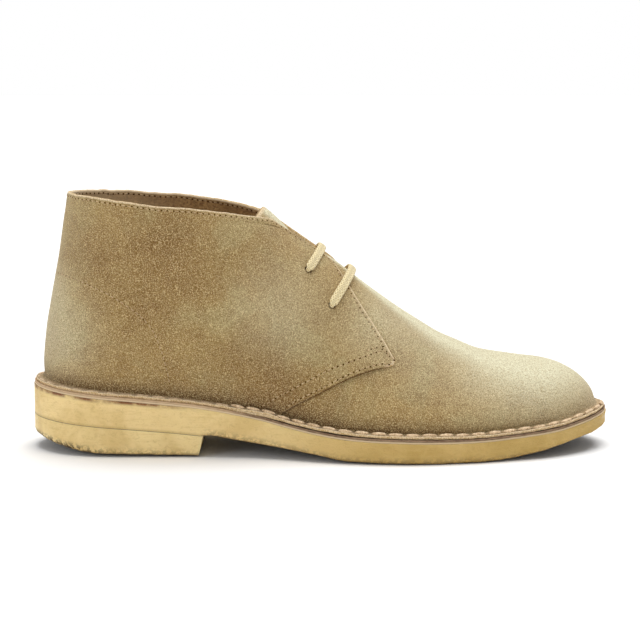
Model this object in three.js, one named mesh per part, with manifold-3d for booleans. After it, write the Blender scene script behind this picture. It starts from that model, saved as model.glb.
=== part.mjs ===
// Chukka boot for the right foot, in millimetres: +X to the toe, -Y to the outer side, +Z up.
// The origin lies on the floor under the middle of the sole's box. The upper is drawn over one
// last, whose sections are fractions of its length, ball width, instep and heel seat heights.
import * as THREE from 'three';
import { mergeVertices } from 'three/addons/utils/BufferGeometryUtils.js';
import Module from 'manifold-3d';

const wasm = await Module();
wasm.setup();

// Driving dimensions.
const LAST_LENGTH = 289.3;
const LAST_BACK = -145;
const LAST_AXIS_Y = 3.5;
const BALL_WIDTH = 96;
const INSTEP_HEIGHT = 102;
const HEEL_SEAT = 36.6;
const BACK_HEIGHT = 96.2;
const CROWN = 80;

const VAMP_WALL = 1.6;
const QUARTER_PROUD = 1.4;
const FLANGE_WIDTH = 5.2;
const FLANGE_THICK = 1.4;
const GAP = 0.3;
const MIDSOLE_THICK = 1.4;
const MIDSOLE_EDGE = 0.4;
const OUTSOLE_EDGE = 0.9;
const INSOLE_THICK = 3;
const SOLE_EDGE_RADIUS = 1.6;
const BREAST_X = -61;
const BREAST_SLOPE = 2.4;

const SLOT_HALF = 7.5;
const EYELET_RADIUS = 2.1;
// The upper pair of eyelets, then the lower pair. ridgeX: where the lace crosses the ridge.
const EYELETS = [
  { x: -6.9, z: 93.7, ridgeX: -0.6 },
  { x: 5.3, z: 76.4, ridgeX: 15 },
];
const LACE_WIDTH = 4.6;
const LACE_THICK = 1.8;

// How finely the forms are faceted.
const SIDE_STEPS = 34;
const OUTER_ROWS = 17;
const INNER_ROWS = 11;

// One row for each section of the last. at: distance from the heel, of the length. outer, inner:
// half widths at the feather line, and high: half width at the ankle, of the ball width.
// seat: height of the feather line, of the heel seat. ridge: top of the section, of the instep.
const SECTIONS = [
  { at: 0.00, outer: 0.333, inner: 0.328, high: 0.370, seat: 1.000, ridge: 2.500 },
  { at: 0.05, outer: 0.333, inner: 0.328, high: 0.370, seat: 0.954, ridge: 2.340 },
  { at: 0.10, outer: 0.333, inner: 0.328, high: 0.372, seat: 0.915, ridge: 2.180 },
  { at: 0.20, outer: 0.336, inner: 0.328, high: 0.382, seat: 0.847, ridge: 1.835 },
  { at: 0.30, outer: 0.340, inner: 0.313, high: 0.400, seat: 0.762, ridge: 1.520 },
  { at: 0.40, outer: 0.375, inner: 0.284, high: 0.392, seat: 0.626, ridge: 1.240 },
  { at: 0.45, outer: 0.417, inner: 0.284, high: 0.392, seat: 0.541, ridge: 1.110 },
  { at: 0.50, outer: 0.469, inner: 0.313, high: 0.406, seat: 0.470, ridge: 1.003 },
  { at: 0.55, outer: 0.510, inner: 0.354, high: 0.432, seat: 0.421, ridge: 0.900 },
  { at: 0.60, outer: 0.534, inner: 0.396, high: 0.458, seat: 0.399, ridge: 0.790 },
  { at: 0.65, outer: 0.542, inner: 0.432, high: 0.474, seat: 0.388, ridge: 0.690 },
  { at: 0.70, outer: 0.533, inner: 0.458, high: 0.479, seat: 0.380, ridge: 0.602 },
  { at: 0.75, outer: 0.508, inner: 0.469, high: 0.474, seat: 0.377, ridge: 0.531 },
  { at: 0.80, outer: 0.472, inner: 0.460, high: 0.455, seat: 0.388, ridge: 0.482 },
  { at: 0.90, outer: 0.372, inner: 0.380, high: 0.368, seat: 0.443, ridge: 0.443 },
  { at: 0.95, outer: 0.335, inner: 0.341, high: 0.331, seat: 0.508, ridge: 0.436 },
  { at: 1.00, outer: 0.320, inner: 0.325, high: 0.315, seat: 0.590, ridge: 0.430 },
];

// The back of the heel. rise: height over the seat. lean: how far it stands ahead of the last's
// back. turn: length over which the side rounds into the back.
const BACK = [
  { rise: 0.0, lean: 0.7, turn: 40 },
  { rise: 10.0, lean: 1.4, turn: 40 },
  { rise: 23.5, lean: 2.9, turn: 41 },
  { rise: 44.5, lean: 6.6, turn: 43 },
  { rise: 65.5, lean: 10.4, turn: 46 },
  { rise: 86.5, lean: 13.8, turn: 49 },
  { rise: 96.2, lean: 15.3, turn: 50 },
];

// The collar's height along X, and how much higher its inner side runs.
const COLLAR = [
  { x: -130.4, z: 132.8, rise: 0.0 },
  { x: -110, z: 131.2, rise: 0.8 },
  { x: -90, z: 128.6, rise: 1.6 },
  { x: -60, z: 125.0, rise: 2.4 },
  { x: -35, z: 120.9, rise: 1.8 },
  { x: -20, z: 116.8, rise: 0.8 },
  { x: -9, z: 110.8, rise: 0.0 },
];

// The quarter's front edge from the collar down the facing, its round corner, and its lower edge
// back to the flange.
const FACING = [
  { x: -16, z: 125 },
  { x: -2.7, z: 107.5 },
  { x: 10.7, z: 90.1 },
  { x: 20.5, z: 75.5 },
  { x: 30.5, z: 60.5 },
  { x: 36.4, z: 51 },
];
const CORNER = { x: 38.6, z: 47.4 };
const LOWER_EDGE = [
  { x: 34.6, z: 46.9 },
  { x: 24.5, z: 45 },
  { x: 14.5, z: 41.6 },
  { x: 0, z: 34.2 },
  { x: -15.4, z: 25.6 },
  { x: -34, z: 12 },
];

// The tread's underside. sheet: under the full-length sheet. block: under the heel block.
const TREAD = [
  { x: -151, sheet: 17.6, block: 7.4 },
  { x: -140, sheet: 16.9, block: 4.6 },
  { x: -128, sheet: 16.1, block: 1.9 },
  { x: -114, sheet: 15.3, block: 0 },
  { x: -86, sheet: 13.3, block: 0 },
  { x: -58, sheet: 10.6, block: 0 },
  { x: -41, sheet: 8.2, block: 0 },
  { x: -20, sheet: 5, block: 0 },
  { x: 0, sheet: 1.9, block: 0 },
  { x: 14, sheet: 0, block: 0 },
  { x: 86, sheet: 0, block: 0 },
  { x: 100, sheet: 0.7, block: 0 },
  { x: 122, sheet: 2.9, block: 0 },
  { x: 140, sheet: 6.3, block: 0 },
  { x: 151, sheet: 10.6, block: 0 },
];

// The tongue. x: station along the ridge. half: half width. depth: how far its middle lies under
// the skin. flat: how much nearer to the skin its sides lie.
const TONGUE = [
  { x: 26, half: 17, depth: 2.2, flat: 0 },
  { x: 17, half: 22, depth: 3.4, flat: 0 },
  { x: 6, half: 24.5, depth: 4.4, flat: 0 },
  { x: -6, half: 23, depth: 4.6, flat: 0 },
  { x: -18, half: 19, depth: 3.2, flat: 0.5 },
  { x: -27, half: 16.5, depth: 2.8, flat: 0.6 },
  { x: -31, half: 16, depth: 3.2, flat: 0.9 },
];
const TONGUE_THICK = 2;

const clamp01 = (value) => Math.min(1, Math.max(0, value));
const round = (t) => Math.sqrt(1 - (1 - clamp01(t)) ** 2);
const ease = (t) => clamp01(t) ** 2 * (3 - 2 * clamp01(t));
const mix = (a, b, t) => a + (b - a) * t;

// Smooth value of a table's column at a key, through the rows on either side of it.
function column(table, key, name, value) {
  const sign = Math.sign(table[table.length - 1][key] - table[0][key]);
  const held = sign > 0
    ? Math.min(Math.max(value, table[0][key]), table[table.length - 1][key])
    : Math.max(Math.min(value, table[0][key]), table[table.length - 1][key]);
  let i = 0;
  while (i < table.length - 2 && sign * held > sign * table[i + 1][key]) i += 1;
  const slope = (k) => {
    const a = table[Math.max(k - 1, 0)];
    const b = table[Math.min(k + 1, table.length - 1)];
    return (b[name] - a[name]) / (b[key] - a[key]);
  };
  const from = table[i];
  const to = table[i + 1];
  const span = to[key] - from[key];
  const t = (held - from[key]) / span;
  return from[name] * (2 * t ** 3 - 3 * t ** 2 + 1) + slope(i) * span * (t ** 3 - 2 * t ** 2 + t)
    + to[name] * (3 * t ** 2 - 2 * t ** 3) + slope(i + 1) * span * (t ** 3 - t ** 2);
}

// The last.
const TOE_X = LAST_BACK + LAST_LENGTH;
const TOE_TURN = 38;
const NOSE_TURN = 31;
const TUCK = 1.3;
const TUCK_HEIGHT = 9;
const TUCK_FULL_AT = 20;
const CROWN_SHARE = 0.94;
const LEAST_CROWN = 2;
const SIDE_SHARE = 0.75;
const LEAST_SIDE = 4;
const MOST_SIDE = 60;
const section = (name, x) => column(SECTIONS, 'at', name, (x - LAST_BACK) / LAST_LENGTH);
const seat = (x) => HEEL_SEAT * section('seat', x);
const backX = (z) => LAST_BACK + column(BACK, 'rise', 'lean', z - HEEL_SEAT);

function ridge(x) {
  const foot = seat(x);
  return foot + (INSTEP_HEIGHT * section('ridge', x) - foot) * round((TOE_X - x) / NOSE_TURN);
}

const crownDepth = (x) => Math.max(LEAST_CROWN, Math.min(CROWN, CROWN_SHARE * (ridge(x) - seat(x))));

// Half width of the last at a place seen from the side. side is -1 outer and 1 inner.
function halfWidth(x, z, side) {
  const foot = seat(x);
  const top = ridge(x);
  const low = section(side < 0 ? 'outer' : 'inner', x);
  const rise = ease((z - foot) / Math.min(MOST_SIDE, Math.max(LEAST_SIDE, SIDE_SHARE * (top - foot))));
  const body = BALL_WIDTH * mix(low, section('high', x), rise) * round((TOE_X - x) / TOE_TURN);
  const turn = column(BACK, 'rise', 'turn', z - HEEL_SEAT);
  const tucked = TUCK * (1 - clamp01((z - foot) / TUCK_HEIGHT)) ** 2;
  const full = body - tucked * clamp01(body / TUCK_FULL_AT);
  return full * round((top - z) / crownDepth(x)) * round((x - backX(z)) / turn);
}

// A place on the last: s runs from the back to the ridge, v from the feather line to the collar.
// Each row of v starts level with v at the back and climbs over the side to meet the ridge.
const THROAT_X = -9;
const FRONT_SWEEP = 1.7;
const CLIMB_LATE = 2.2;
const CLIMB_SOONER = 0.6;
function lastPoint(s, v, side) {
  const along = (1 - Math.cos(Math.PI * s)) / 2;
  const x = mix(backX(HEEL_SEAT + BACK_HEIGHT * v), mix(TOE_X, THROAT_X, v ** FRONT_SWEEP), along);
  const climb = v > 0 ? v + (1 - v) * along ** (CLIMB_LATE / v ** CLIMB_SOONER) : 0;
  const inside = side > 0 ? column(COLLAR, 'x', 'rise', x) : 0;
  const top = Math.min(column(COLLAR, 'x', 'z', x) + inside, ridge(x));
  const z = mix(seat(x), x > THROAT_X ? ridge(x) : top, climb);
  return new THREE.Vector3(x, side * halfWidth(x, z, side), z);
}

// A ring round the last at v: outer side from back to ridge, then the inner side to the back.
const RING = 2 * SIDE_STEPS;
function ring(v) {
  const points = [];
  for (let i = 0; i < RING; i += 1) {
    const side = i <= SIDE_STEPS ? -1 : 1;
    points.push(lastPoint((side < 0 ? i : RING - i) / SIDE_STEPS, v, side));
  }
  return points;
}

// The same ring moved out along the last's own normals.
const V_STEP = 0.01;
const LEAST_V = 0.004;
function offsetRing(v, distance) {
  const here = ring(v);
  const low = Math.max(LEAST_V, v - V_STEP);
  const below = ring(low);
  const above = ring(Math.min(1, low + 2 * V_STEP));
  return here.map((point, i) => {
    const along = here[(i + 1) % RING].clone().sub(here[(i + RING - 1) % RING]);
    const up = above[i].clone().sub(below[i]);
    return point.clone().addScaledVector(along.cross(up).normalize(), distance);
  });
}

// A level outline round the feather line, moved out by a distance, at a drop under the seat.
function footRing(distance, drop) {
  const here = ring(0);
  return here.map((point, i) => {
    const along = here[(i + 1) % RING].clone().sub(here[(i + RING - 1) % RING]);
    const out = new THREE.Vector3(along.y, -along.x, 0).normalize();
    const moved = point.clone().addScaledVector(out, distance);
    return moved.setZ(point.z - drop);
  });
}

// Makes one closed mesh from rings of equal length. A tube joins its last ring to its first;
// otherwise both ends are closed by strips from side to side.
function loft(rings, tube) {
  const count = rings[0].length;
  const positions = rings.flat().flatMap((point) => point.toArray());
  const triangles = [];
  const quad = (a, b, c, d) => triangles.push(a, b, c, a, c, d);
  for (let j = 0; j < rings.length - (tube ? 0 : 1); j += 1) {
    const low = j * count;
    const high = ((j + 1) % rings.length) * count;
    for (let i = 0; i < count; i += 1) {
      const next = (i + 1) % count;
      quad(low + i, low + next, high + next, high + i);
    }
  }
  if (!tube) {
    const top = (rings.length - 1) * count;
    for (const [start, turn] of [[0, true], [top, false]]) {
      for (let i = 0; i < count / 2; i += 1) {
        const a = start + i;
        const b = start + i + 1;
        const c = start + count - i - 1;
        const d = start + (count - i) % count;
        if (i === 0) triangles.push(...(turn ? [a, c, b] : [a, b, c]));
        else if (b === c) triangles.push(...(turn ? [a, d, b] : [a, b, d]));
        else if (turn) quad(a, d, c, b);
        else quad(a, b, c, d);
      }
    }
  }
  const geometry = new THREE.BufferGeometry();
  geometry.setAttribute('position', new THREE.Float32BufferAttribute(positions, 3));
  geometry.setIndex(triangles);
  return geometry;
}

function solidOf(geometry) {
  const bare = geometry.clone();
  bare.deleteAttribute('normal');
  bare.deleteAttribute('uv');
  const merged = mergeVertices(bare, 1e-4);
  return new wasm.Manifold(new wasm.Mesh({
    numProp: 3,
    vertProperties: new Float32Array(merged.attributes.position.array),
    triVerts: new Uint32Array(merged.index.array),
  }));
}

function geometryOf(solid) {
  const mesh = solid.getMesh();
  const geometry = new THREE.BufferGeometry();
  geometry.setAttribute('position', new THREE.BufferAttribute(mesh.vertProperties, 3));
  geometry.setIndex(new THREE.BufferAttribute(mesh.triVerts, 1));
  return geometry;
}

// Rows of v, closer together near the feather line.
const ROW_CROWDING = 1.15;
const rows = (count) => Array.from({ length: count + 1 }, (_, j) => (j / count) ** ROW_CROWDING);

// A shell between two offsets of the last, with the stitch-down flange turned out at its foot.
function shell(outside, inside) {
  return loft([
    footRing(FLANGE_WIDTH, 0),
    ...rows(OUTER_ROWS).map((v) => offsetRing(v, outside)),
    ...rows(INNER_ROWS).reverse().map((v) => offsetRing(v, inside)),
    footRing(inside, FLANGE_THICK),
    footRing(FLANGE_WIDTH, FLANGE_THICK),
  ], true);
}

// The full form of the vamp with a plain brim, which keeps the flange out of the cut.
function vampForm() {
  const brim = FLANGE_WIDTH + 2;
  const ledge = -0.1;
  const below = FLANGE_THICK + 6;
  return loft([
    footRing(brim, below),
    footRing(brim, ledge),
    footRing(0, ledge),
    ...rows(OUTER_ROWS).slice(1).map((v) => offsetRing(v, 0)),
  ], false);
}

const sidePoint = (row) => new THREE.Vector2(row.x, row.z);

// A prism across the boot whose outline, seen from the side, is a closed shape.
function acrossPrism(outline) {
  const width = 200;
  const options = { depth: width, bevelEnabled: false, curveSegments: 5 };
  const geometry = new THREE.ExtrudeGeometry(outline, options);
  return geometry.rotateX(Math.PI / 2).translate(0, width / 2, 0);
}

// Everything ahead of the quarters' edge, with a round corner between facing and lower edge.
function vampRegion() {
  const outline = new THREE.Shape();
  const ahead = 170;
  outline.moveTo(FACING[0].x, FACING[0].z);
  outline.splineThru(FACING.slice(1).map(sidePoint));
  outline.quadraticCurveTo(CORNER.x, CORNER.z, LOWER_EDGE[0].x, LOWER_EDGE[0].z);
  outline.splineThru(LOWER_EDGE.slice(1).map(sidePoint));
  outline.lineTo(ahead, LOWER_EDGE[LOWER_EDGE.length - 1].z);
  outline.lineTo(ahead, FACING[0].z);
  return acrossPrism(outline);
}

// The throat's slot, cut square to the ridge from its round lower end out through the collar.
const SLOT_FOOT = new THREE.Vector3(16, 0, 91.5);
const UP_RIDGE = new THREE.Vector3(-0.8, 0, 0.6);
const OFF_RIDGE = new THREE.Vector3(0.6, 0, 0.8);
function throatSlot() {
  const length = 60;
  const depth = 24;
  const outline = new THREE.Shape();
  outline.moveTo(SLOT_HALF, length);
  outline.lineTo(-SLOT_HALF, length);
  outline.lineTo(-SLOT_HALF, SLOT_HALF);
  outline.absarc(0, SLOT_HALF, SLOT_HALF, Math.PI, 2 * Math.PI, false);
  const geometry = new THREE.ExtrudeGeometry(outline, { depth, bevelEnabled: false, curveSegments: 8 });
  const place = new THREE.Matrix4().makeBasis(new THREE.Vector3(0, 1, 0), UP_RIDGE, OFF_RIDGE);
  place.setPosition(SLOT_FOOT.clone().addScaledVector(OFF_RIDGE, -depth / 2));
  return geometry.applyMatrix4(place);
}

// A point and outward normal on the last, at a place seen from the side.
function skinAt(x, z, side) {
  const step = 0.4;
  const y = (px, pz) => halfWidth(px, pz, side);
  const slopeX = (y(x + step, z) - y(x - step, z)) / (2 * step);
  const slopeZ = (y(x, z + step) - y(x, z - step)) / (2 * step);
  return {
    point: new THREE.Vector3(x, side * y(x, z), z),
    normal: new THREE.Vector3(-slopeX, side, -slopeZ).normalize(),
  };
}

function eyeletHole(eyelet, side) {
  const depth = 14;
  const { point, normal } = skinAt(eyelet.x, eyelet.z, side);
  const geometry = new THREE.CylinderGeometry(EYELET_RADIUS, EYELET_RADIUS, depth, 14);
  geometry.applyQuaternion(new THREE.Quaternion().setFromUnitVectors(new THREE.Vector3(0, 1, 0), normal));
  return geometry.translate(...point.toArray());
}

function makeUpper() {
  const vampCut = solidOf(vampRegion()).subtract(solidOf(vampForm()));
  let solid = solidOf(shell(QUARTER_PROUD, -VAMP_WALL)).subtract(vampCut);
  solid = solid.subtract(solidOf(throatSlot()));
  for (const side of [-1, 1]) {
    for (const eyelet of EYELETS) solid = solid.subtract(solidOf(eyeletHole(eyelet, side)));
  }
  return geometryOf(solid);
}

// A place on the last given from above the ridge: y is the distance from the middle.
function crownPoint(x, y) {
  const wide = BALL_WIDTH * section('high', x);
  return new THREE.Vector3(x, y, ridge(x) - crownDepth(x) * (1 - Math.sqrt(1 - (y / wide) ** 2)));
}

function crownNormal(x, y) {
  const step = 0.5;
  const along = crownPoint(x + step, y).sub(crownPoint(x - step, y));
  const across = crownPoint(x, y + step).sub(crownPoint(x, y - step));
  return along.cross(across).normalize();
}

// The tongue is a bowed plate that follows the last a little under the facings.
function makeTongue() {
  const stations = 14;
  const across = 8;
  const last = TONGUE.length - 1;
  const rings = [];
  for (let j = 0; j <= stations; j += 1) {
    const x = mix(TONGUE[0].x, TONGUE[last].x, j / stations);
    const half = column(TONGUE, 'x', 'half', x);
    const middle = column(TONGUE, 'x', 'depth', x);
    const flat = column(TONGUE, 'x', 'flat', x);
    const top = [];
    const under = [];
    for (let i = 0; i <= across; i += 1) {
      const y = mix(-half, half, i / across);
      const depth = middle - flat * (y / half) ** 2;
      const normal = crownNormal(x, y);
      top.push(crownPoint(x, y).addScaledVector(normal, -depth));
      under.push(crownPoint(x, y).addScaledVector(normal, -depth - TONGUE_THICK));
    }
    rings.push([...top, ...under.reverse()]);
  }
  return loft(rings, false);
}

// The layers of the sole, each under the seat by the ones above it.
const STACK = FLANGE_THICK + GAP;
const OUTSOLE_DROP = STACK + MIDSOLE_THICK + GAP;

function makeMidsole() {
  const edge = FLANGE_WIDTH + MIDSOLE_EDGE;
  return loft([footRing(edge, STACK + MIDSOLE_THICK), footRing(edge, STACK)], false);
}

function makeInsole() {
  const edge = -VAMP_WALL - GAP - 0.2;
  const bevel = 0.8;
  return loft([
    footRing(edge, FLANGE_THICK),
    footRing(edge, FLANGE_THICK - INSOLE_THICK + bevel),
    footRing(edge - bevel, FLANGE_THICK - INSOLE_THICK),
  ], false);
}

// The crepe sheet's edge: upright, with a small round under it.
const tread = (name, x) => Math.max(0, column(TREAD, 'x', name, x));
const soleRing = (inset, height) => footRing(FLANGE_WIDTH + OUTSOLE_EDGE - inset, 0)
  .map((point) => point.setZ(height(point)));

// Rings that round the lower edge over one side of the tread, up to a top height.
function roundedRings(name, top) {
  const halfway = SOLE_EDGE_RADIUS * (1 - Math.SQRT1_2);
  return [
    soleRing(SOLE_EDGE_RADIUS, (point) => tread(name, point.x)),
    soleRing(halfway, (point) => tread(name, point.x) + halfway),
    soleRing(0, (point) => tread(name, point.x) + SOLE_EDGE_RADIUS),
    soleRing(0, top),
  ];
}

function makeOutsole() {
  return loft(roundedRings('sheet', (point) => point.z - OUTSOLE_DROP), false);
}

// The heel block under the sheet, cut off square at the breast.
function makeHeel() {
  const leastHeight = SOLE_EDGE_RADIUS + 1;
  const top = (point) => Math.max(tread('sheet', point.x) - GAP, tread('block', point.x) + leastHeight);
  const block = loft(roundedRings('block', top), false);
  const back = LAST_BACK - 25;
  const below = -10;
  const above = 30;
  const behind = new THREE.Shape();
  behind.moveTo(back, below);
  behind.lineTo(BREAST_X - BREAST_SLOPE, below);
  behind.lineTo(BREAST_X + BREAST_SLOPE, above);
  behind.lineTo(back, above);
  return geometryOf(solidOf(block).intersect(solidOf(acrossPrism(behind))));
}

// The lace in one run: over the upper pair of eyelets from the inner side, down inside the outer
// quarter, over the lower pair, and up inside the inner quarter, where it stops.
const OVER = QUARTER_PROUD + LACE_THICK / 2 + 0.5;
const INSIDE = -(VAMP_WALL + LACE_THICK / 2 + 0.4);
const HOLE_DEPTHS = [OVER - 0.6, 0, INSIDE + 0.5];
const STUB = -0.2;
const STOP_SHORT = 0.32;
const HALF_FLAT = 0.4;
function lacePath() {
  const [upper, lower] = EYELETS;
  const points = [];
  const push = (place, distance, flat) => points.push({
    at: place.point.clone().addScaledVector(place.normal, distance),
    normal: place.normal.clone(),
    flat,
  });
  const between = (from, to, t, side) => skinAt(mix(from.x, to.x, t), mix(from.z, to.z, t), side);
  const bar = (eyelet, side) => {
    const crest = { x: eyelet.ridgeX, z: ridge(eyelet.ridgeX) };
    const climb = [0.16, 0.38, 0.62, 0.82, 0.95];
    const up = climb.map((t) => between(eyelet, crest, t, side));
    const down = climb.map((t) => between(eyelet, crest, t, -side)).reverse();
    for (const place of up) push(place, OVER, 1);
    push({ point: new THREE.Vector3(crest.x, 0, crest.z), normal: OFF_RIDGE }, OVER, 1);
    for (const place of down) push(place, OVER, 1);
  };
  const hole = (eyelet, side, inward) => {
    const place = skinAt(eyelet.x, eyelet.z, side);
    for (const depth of inward ? HOLE_DEPTHS : HOLE_DEPTHS.toReversed()) push(place, depth, 0);
  };
  push(between(upper, lower, STUB, 1), INSIDE, 0);
  hole(upper, 1, false);
  bar(upper, 1);
  hole(upper, -1, true);
  for (const t of [0.2, 0.5, 0.8]) push(between(upper, lower, t, -1), INSIDE, HALF_FLAT);
  hole(lower, -1, false);
  bar(lower, -1);
  hole(lower, 1, true);
  for (const t of [0.8, 0.5, STOP_SHORT]) push(between(upper, lower, t, 1), INSIDE, HALF_FLAT);
  return points;
}

// A closed tube along the lace's path: a flat oval where it lies over the quarters, round and
// thin in the eyelets.
function makeLace() {
  const path = lacePath();
  const curve = new THREE.CatmullRomCurve3(path.map((row) => row.at), false, 'centripetal');
  const perPoint = 2;
  const sides = 8;
  const thin = 1.25;
  const steps = (path.length - 1) * perPoint;
  let frame = null;
  const rings = [];
  for (let j = 0; j <= steps; j += 1) {
    const low = Math.min(Math.floor(j / perPoint), path.length - 2);
    const t = j / perPoint - low;
    const tangent = curve.getTangent(j / steps);
    const normal = path[low].normal.clone().lerp(path[low + 1].normal, t);
    const flat = mix(path[low].flat, path[low + 1].flat, t);
    frame = (frame || normal.clone()).addScaledVector(tangent, -(frame || normal).dot(tangent)).normalize();
    const side = tangent.clone().cross(frame);
    const lie = Math.atan2(normal.dot(side), normal.dot(frame));
    const wide = mix(thin, LACE_WIDTH / 2, flat);
    const high = mix(thin, LACE_THICK / 2, flat);
    const points = [];
    for (let i = 0; i < sides; i += 1) {
      const angle = (2 * Math.PI * i) / sides;
      const reach = 1 / Math.hypot(Math.cos(angle - lie) / high, Math.sin(angle - lie) / wide);
      points.push(curve.getPoint(j / steps).addScaledVector(frame, reach * Math.cos(angle))
        .addScaledVector(side, reach * Math.sin(angle)));
    }
    rings.push(points);
  }
  return loft(rings, false);
}

// Materials, one for each kind of stuff.
const suede = new THREE.MeshStandardMaterial({ color: 0xb09a6c, roughness: 0.95, metalness: 0 });
const liningLeather = new THREE.MeshStandardMaterial({ color: 0xa88d62, roughness: 0.9, metalness: 0 });
const crepe = new THREE.MeshStandardMaterial({ color: 0xc9a865, roughness: 0.6, metalness: 0 });
const board = new THREE.MeshStandardMaterial({ color: 0x8c7455, roughness: 0.85, metalness: 0 });
const cotton = new THREE.MeshStandardMaterial({ color: 0xd9c48e, roughness: 0.9, metalness: 0 });

const boot = new THREE.Group();
boot.position.y = LAST_AXIS_Y;
function add(name, geometry, material) {
  const mesh = new THREE.Mesh(geometry, material);
  mesh.name = name;
  boot.add(mesh);
}

add('outsole', makeOutsole(), crepe);
add('heel', makeHeel(), crepe);
add('midsole', makeMidsole(), board);
add('insole', makeInsole(), liningLeather);
add('upper', makeUpper(), suede);
add('tongue', makeTongue(), suede);
add('lace', makeLace(), cotton);

export default boot;
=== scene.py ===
"""Chukka boot for the right foot: suede upper on a last, stitched down to a thick crepe sole.

Lengths are millimetres in the last's own frame: +X to the toe, -Y to the outer side, +Z up from
the floor. Every skin is an operator's grid laid on the last, every stitch is a small sphere
stretched along its thread, and each piece is turned to metres in the frame's place at the end.
"""
import math
import random

import bmesh
import bpy
from mathutils import Matrix, Vector, noise
from mathutils.bvhtree import BVHTree
from mathutils.kdtree import KDTree


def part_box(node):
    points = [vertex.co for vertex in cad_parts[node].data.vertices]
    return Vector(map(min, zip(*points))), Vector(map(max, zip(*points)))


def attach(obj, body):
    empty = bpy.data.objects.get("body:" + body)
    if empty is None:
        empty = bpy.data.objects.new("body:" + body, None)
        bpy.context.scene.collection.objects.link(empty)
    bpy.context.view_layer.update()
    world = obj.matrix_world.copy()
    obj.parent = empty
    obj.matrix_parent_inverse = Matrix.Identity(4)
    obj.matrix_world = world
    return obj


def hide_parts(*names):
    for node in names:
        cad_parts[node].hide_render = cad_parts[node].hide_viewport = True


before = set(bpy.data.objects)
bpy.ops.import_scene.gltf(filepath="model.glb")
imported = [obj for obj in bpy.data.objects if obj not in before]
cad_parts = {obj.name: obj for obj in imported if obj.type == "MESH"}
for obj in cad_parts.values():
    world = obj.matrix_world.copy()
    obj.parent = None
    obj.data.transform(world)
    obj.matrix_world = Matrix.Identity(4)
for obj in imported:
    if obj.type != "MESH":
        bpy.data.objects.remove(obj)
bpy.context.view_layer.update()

MM = 0.001
UP = Vector((0, 0, 1))

# ---------------------------------------------------------------------------
# Sizes, from the frame where it gives them
# ---------------------------------------------------------------------------
UPPER_LOW, UPPER_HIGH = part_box("upper")
FLANGE_WIDTH = 5.2
BACK_LEAN = 0.7
LAST_BACK = UPPER_LOW.x / MM + FLANGE_WIDTH - BACK_LEAN
LAST_LENGTH = UPPER_HIGH.x / MM - FLANGE_WIDTH - LAST_BACK
LAST_AXIS_Y = 3.5
BALL_WIDTH = 96.0
INSTEP_HEIGHT = 102.0
HEEL_SEAT = 36.6
BACK_HEIGHT = 96.2
# How deep the last's rounded top is, and how far back its plan and its ridge turn in at the toe.
CROWN = 80.0
TOE_X = LAST_BACK + LAST_LENGTH
TOE_TURN = 38.0
NOSE_TURN = 31.0
THROAT_X = -9.0
# How far, and over what height, the last draws in at the feather line.
TUCK = 1.3
TUCK_HEIGHT = 9.0

# How far the quarters stand off the last, above their fold and at it.
QUARTER_PROUD = 1.4
CREASE_PROUD = 0.6
QUARTER_THICK = 1.8
VAMP_THICK = 1.5
VAMP_UNDER = 0.35
FLANGE_THICK = 1.4
GAP = 0.3
MIDSOLE_THICK = 1.4
OUTSOLE_DROP = FLANGE_THICK + GAP + MIDSOLE_THICK + GAP
OUTSOLE_EDGE = 0.9
# The facings stand this far from the middle, spread by THROAT_SPREAD behind SPREAD_FROM, and are
# closed behind FACING_END.
FACING_GAP = 7.3
THROAT_SPREAD = 5.5
SPREAD_FROM = -12
SPREAD_RUN = 15
FACING_END = -60
LOWER_CORNER_X = 39
CORNER_HIGH = 47.8
BREAST_X = -61.0
BREAST_SLOPE = 2.4
SHARP_EDGE = math.radians(55)

EYELET_RADIUS = 2.0
PUNCH_DEPTH = 9.0
LACE_WIDTH = 4.7
LACE_THICK = 1.7
LACE_ROUND = 1.15
# The power of the lace's oval: 2 is an ellipse, more is squarer.
SQUARENESS = 2.6
STITCH_PITCH = 3.0
STITCH_SWAY = 0.12
STITCH_SUNK = 0.12
HOLE_SUNK = 0.12
EDGE_ROW_INSET = 2.1
SOLE_STITCH_PITCH = 8.2
SOLE_STITCH_OUT = 3.5
# The edge attribute of what is far from any raw edge.
NO_EDGE = 50.0
# The step in s and v for directions on the last.
STEP = 0.006


class Table:
    """Rows with named columns, read smoothly by the first one."""

    def __init__(self, names, *rows):
        self.names = names.split()
        self.rows = rows
        self.rising = rows[-1][0] > rows[0][0]

    def __call__(self, name, value):
        rows = self.rows
        j = self.names.index(name)
        ends = (rows[0][0], rows[-1][0]) if self.rising else (rows[-1][0], rows[0][0])
        value = min(max(value, ends[0]), ends[1])
        i = 0
        while (i < len(rows) - 2 and value != rows[i + 1][0]
               and (value > rows[i + 1][0]) == self.rising):
            i += 1
        a, b = rows[i], rows[i + 1]
        span = b[0] - a[0]
        t = (value - a[0]) / span
        before, after = rows[max(i - 1, 0)], rows[min(i + 2, len(rows) - 1)]
        slope_a = (b[j] - before[j]) / (b[0] - before[0]) * span
        slope_b = (after[j] - a[j]) / (after[0] - a[0]) * span
        return (a[j] * (2 * t**3 - 3 * t**2 + 1) + slope_a * (t**3 - 2 * t**2 + t)
                + b[j] * (3 * t**2 - 2 * t**3) + slope_b * (t**3 - t**2))


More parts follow.
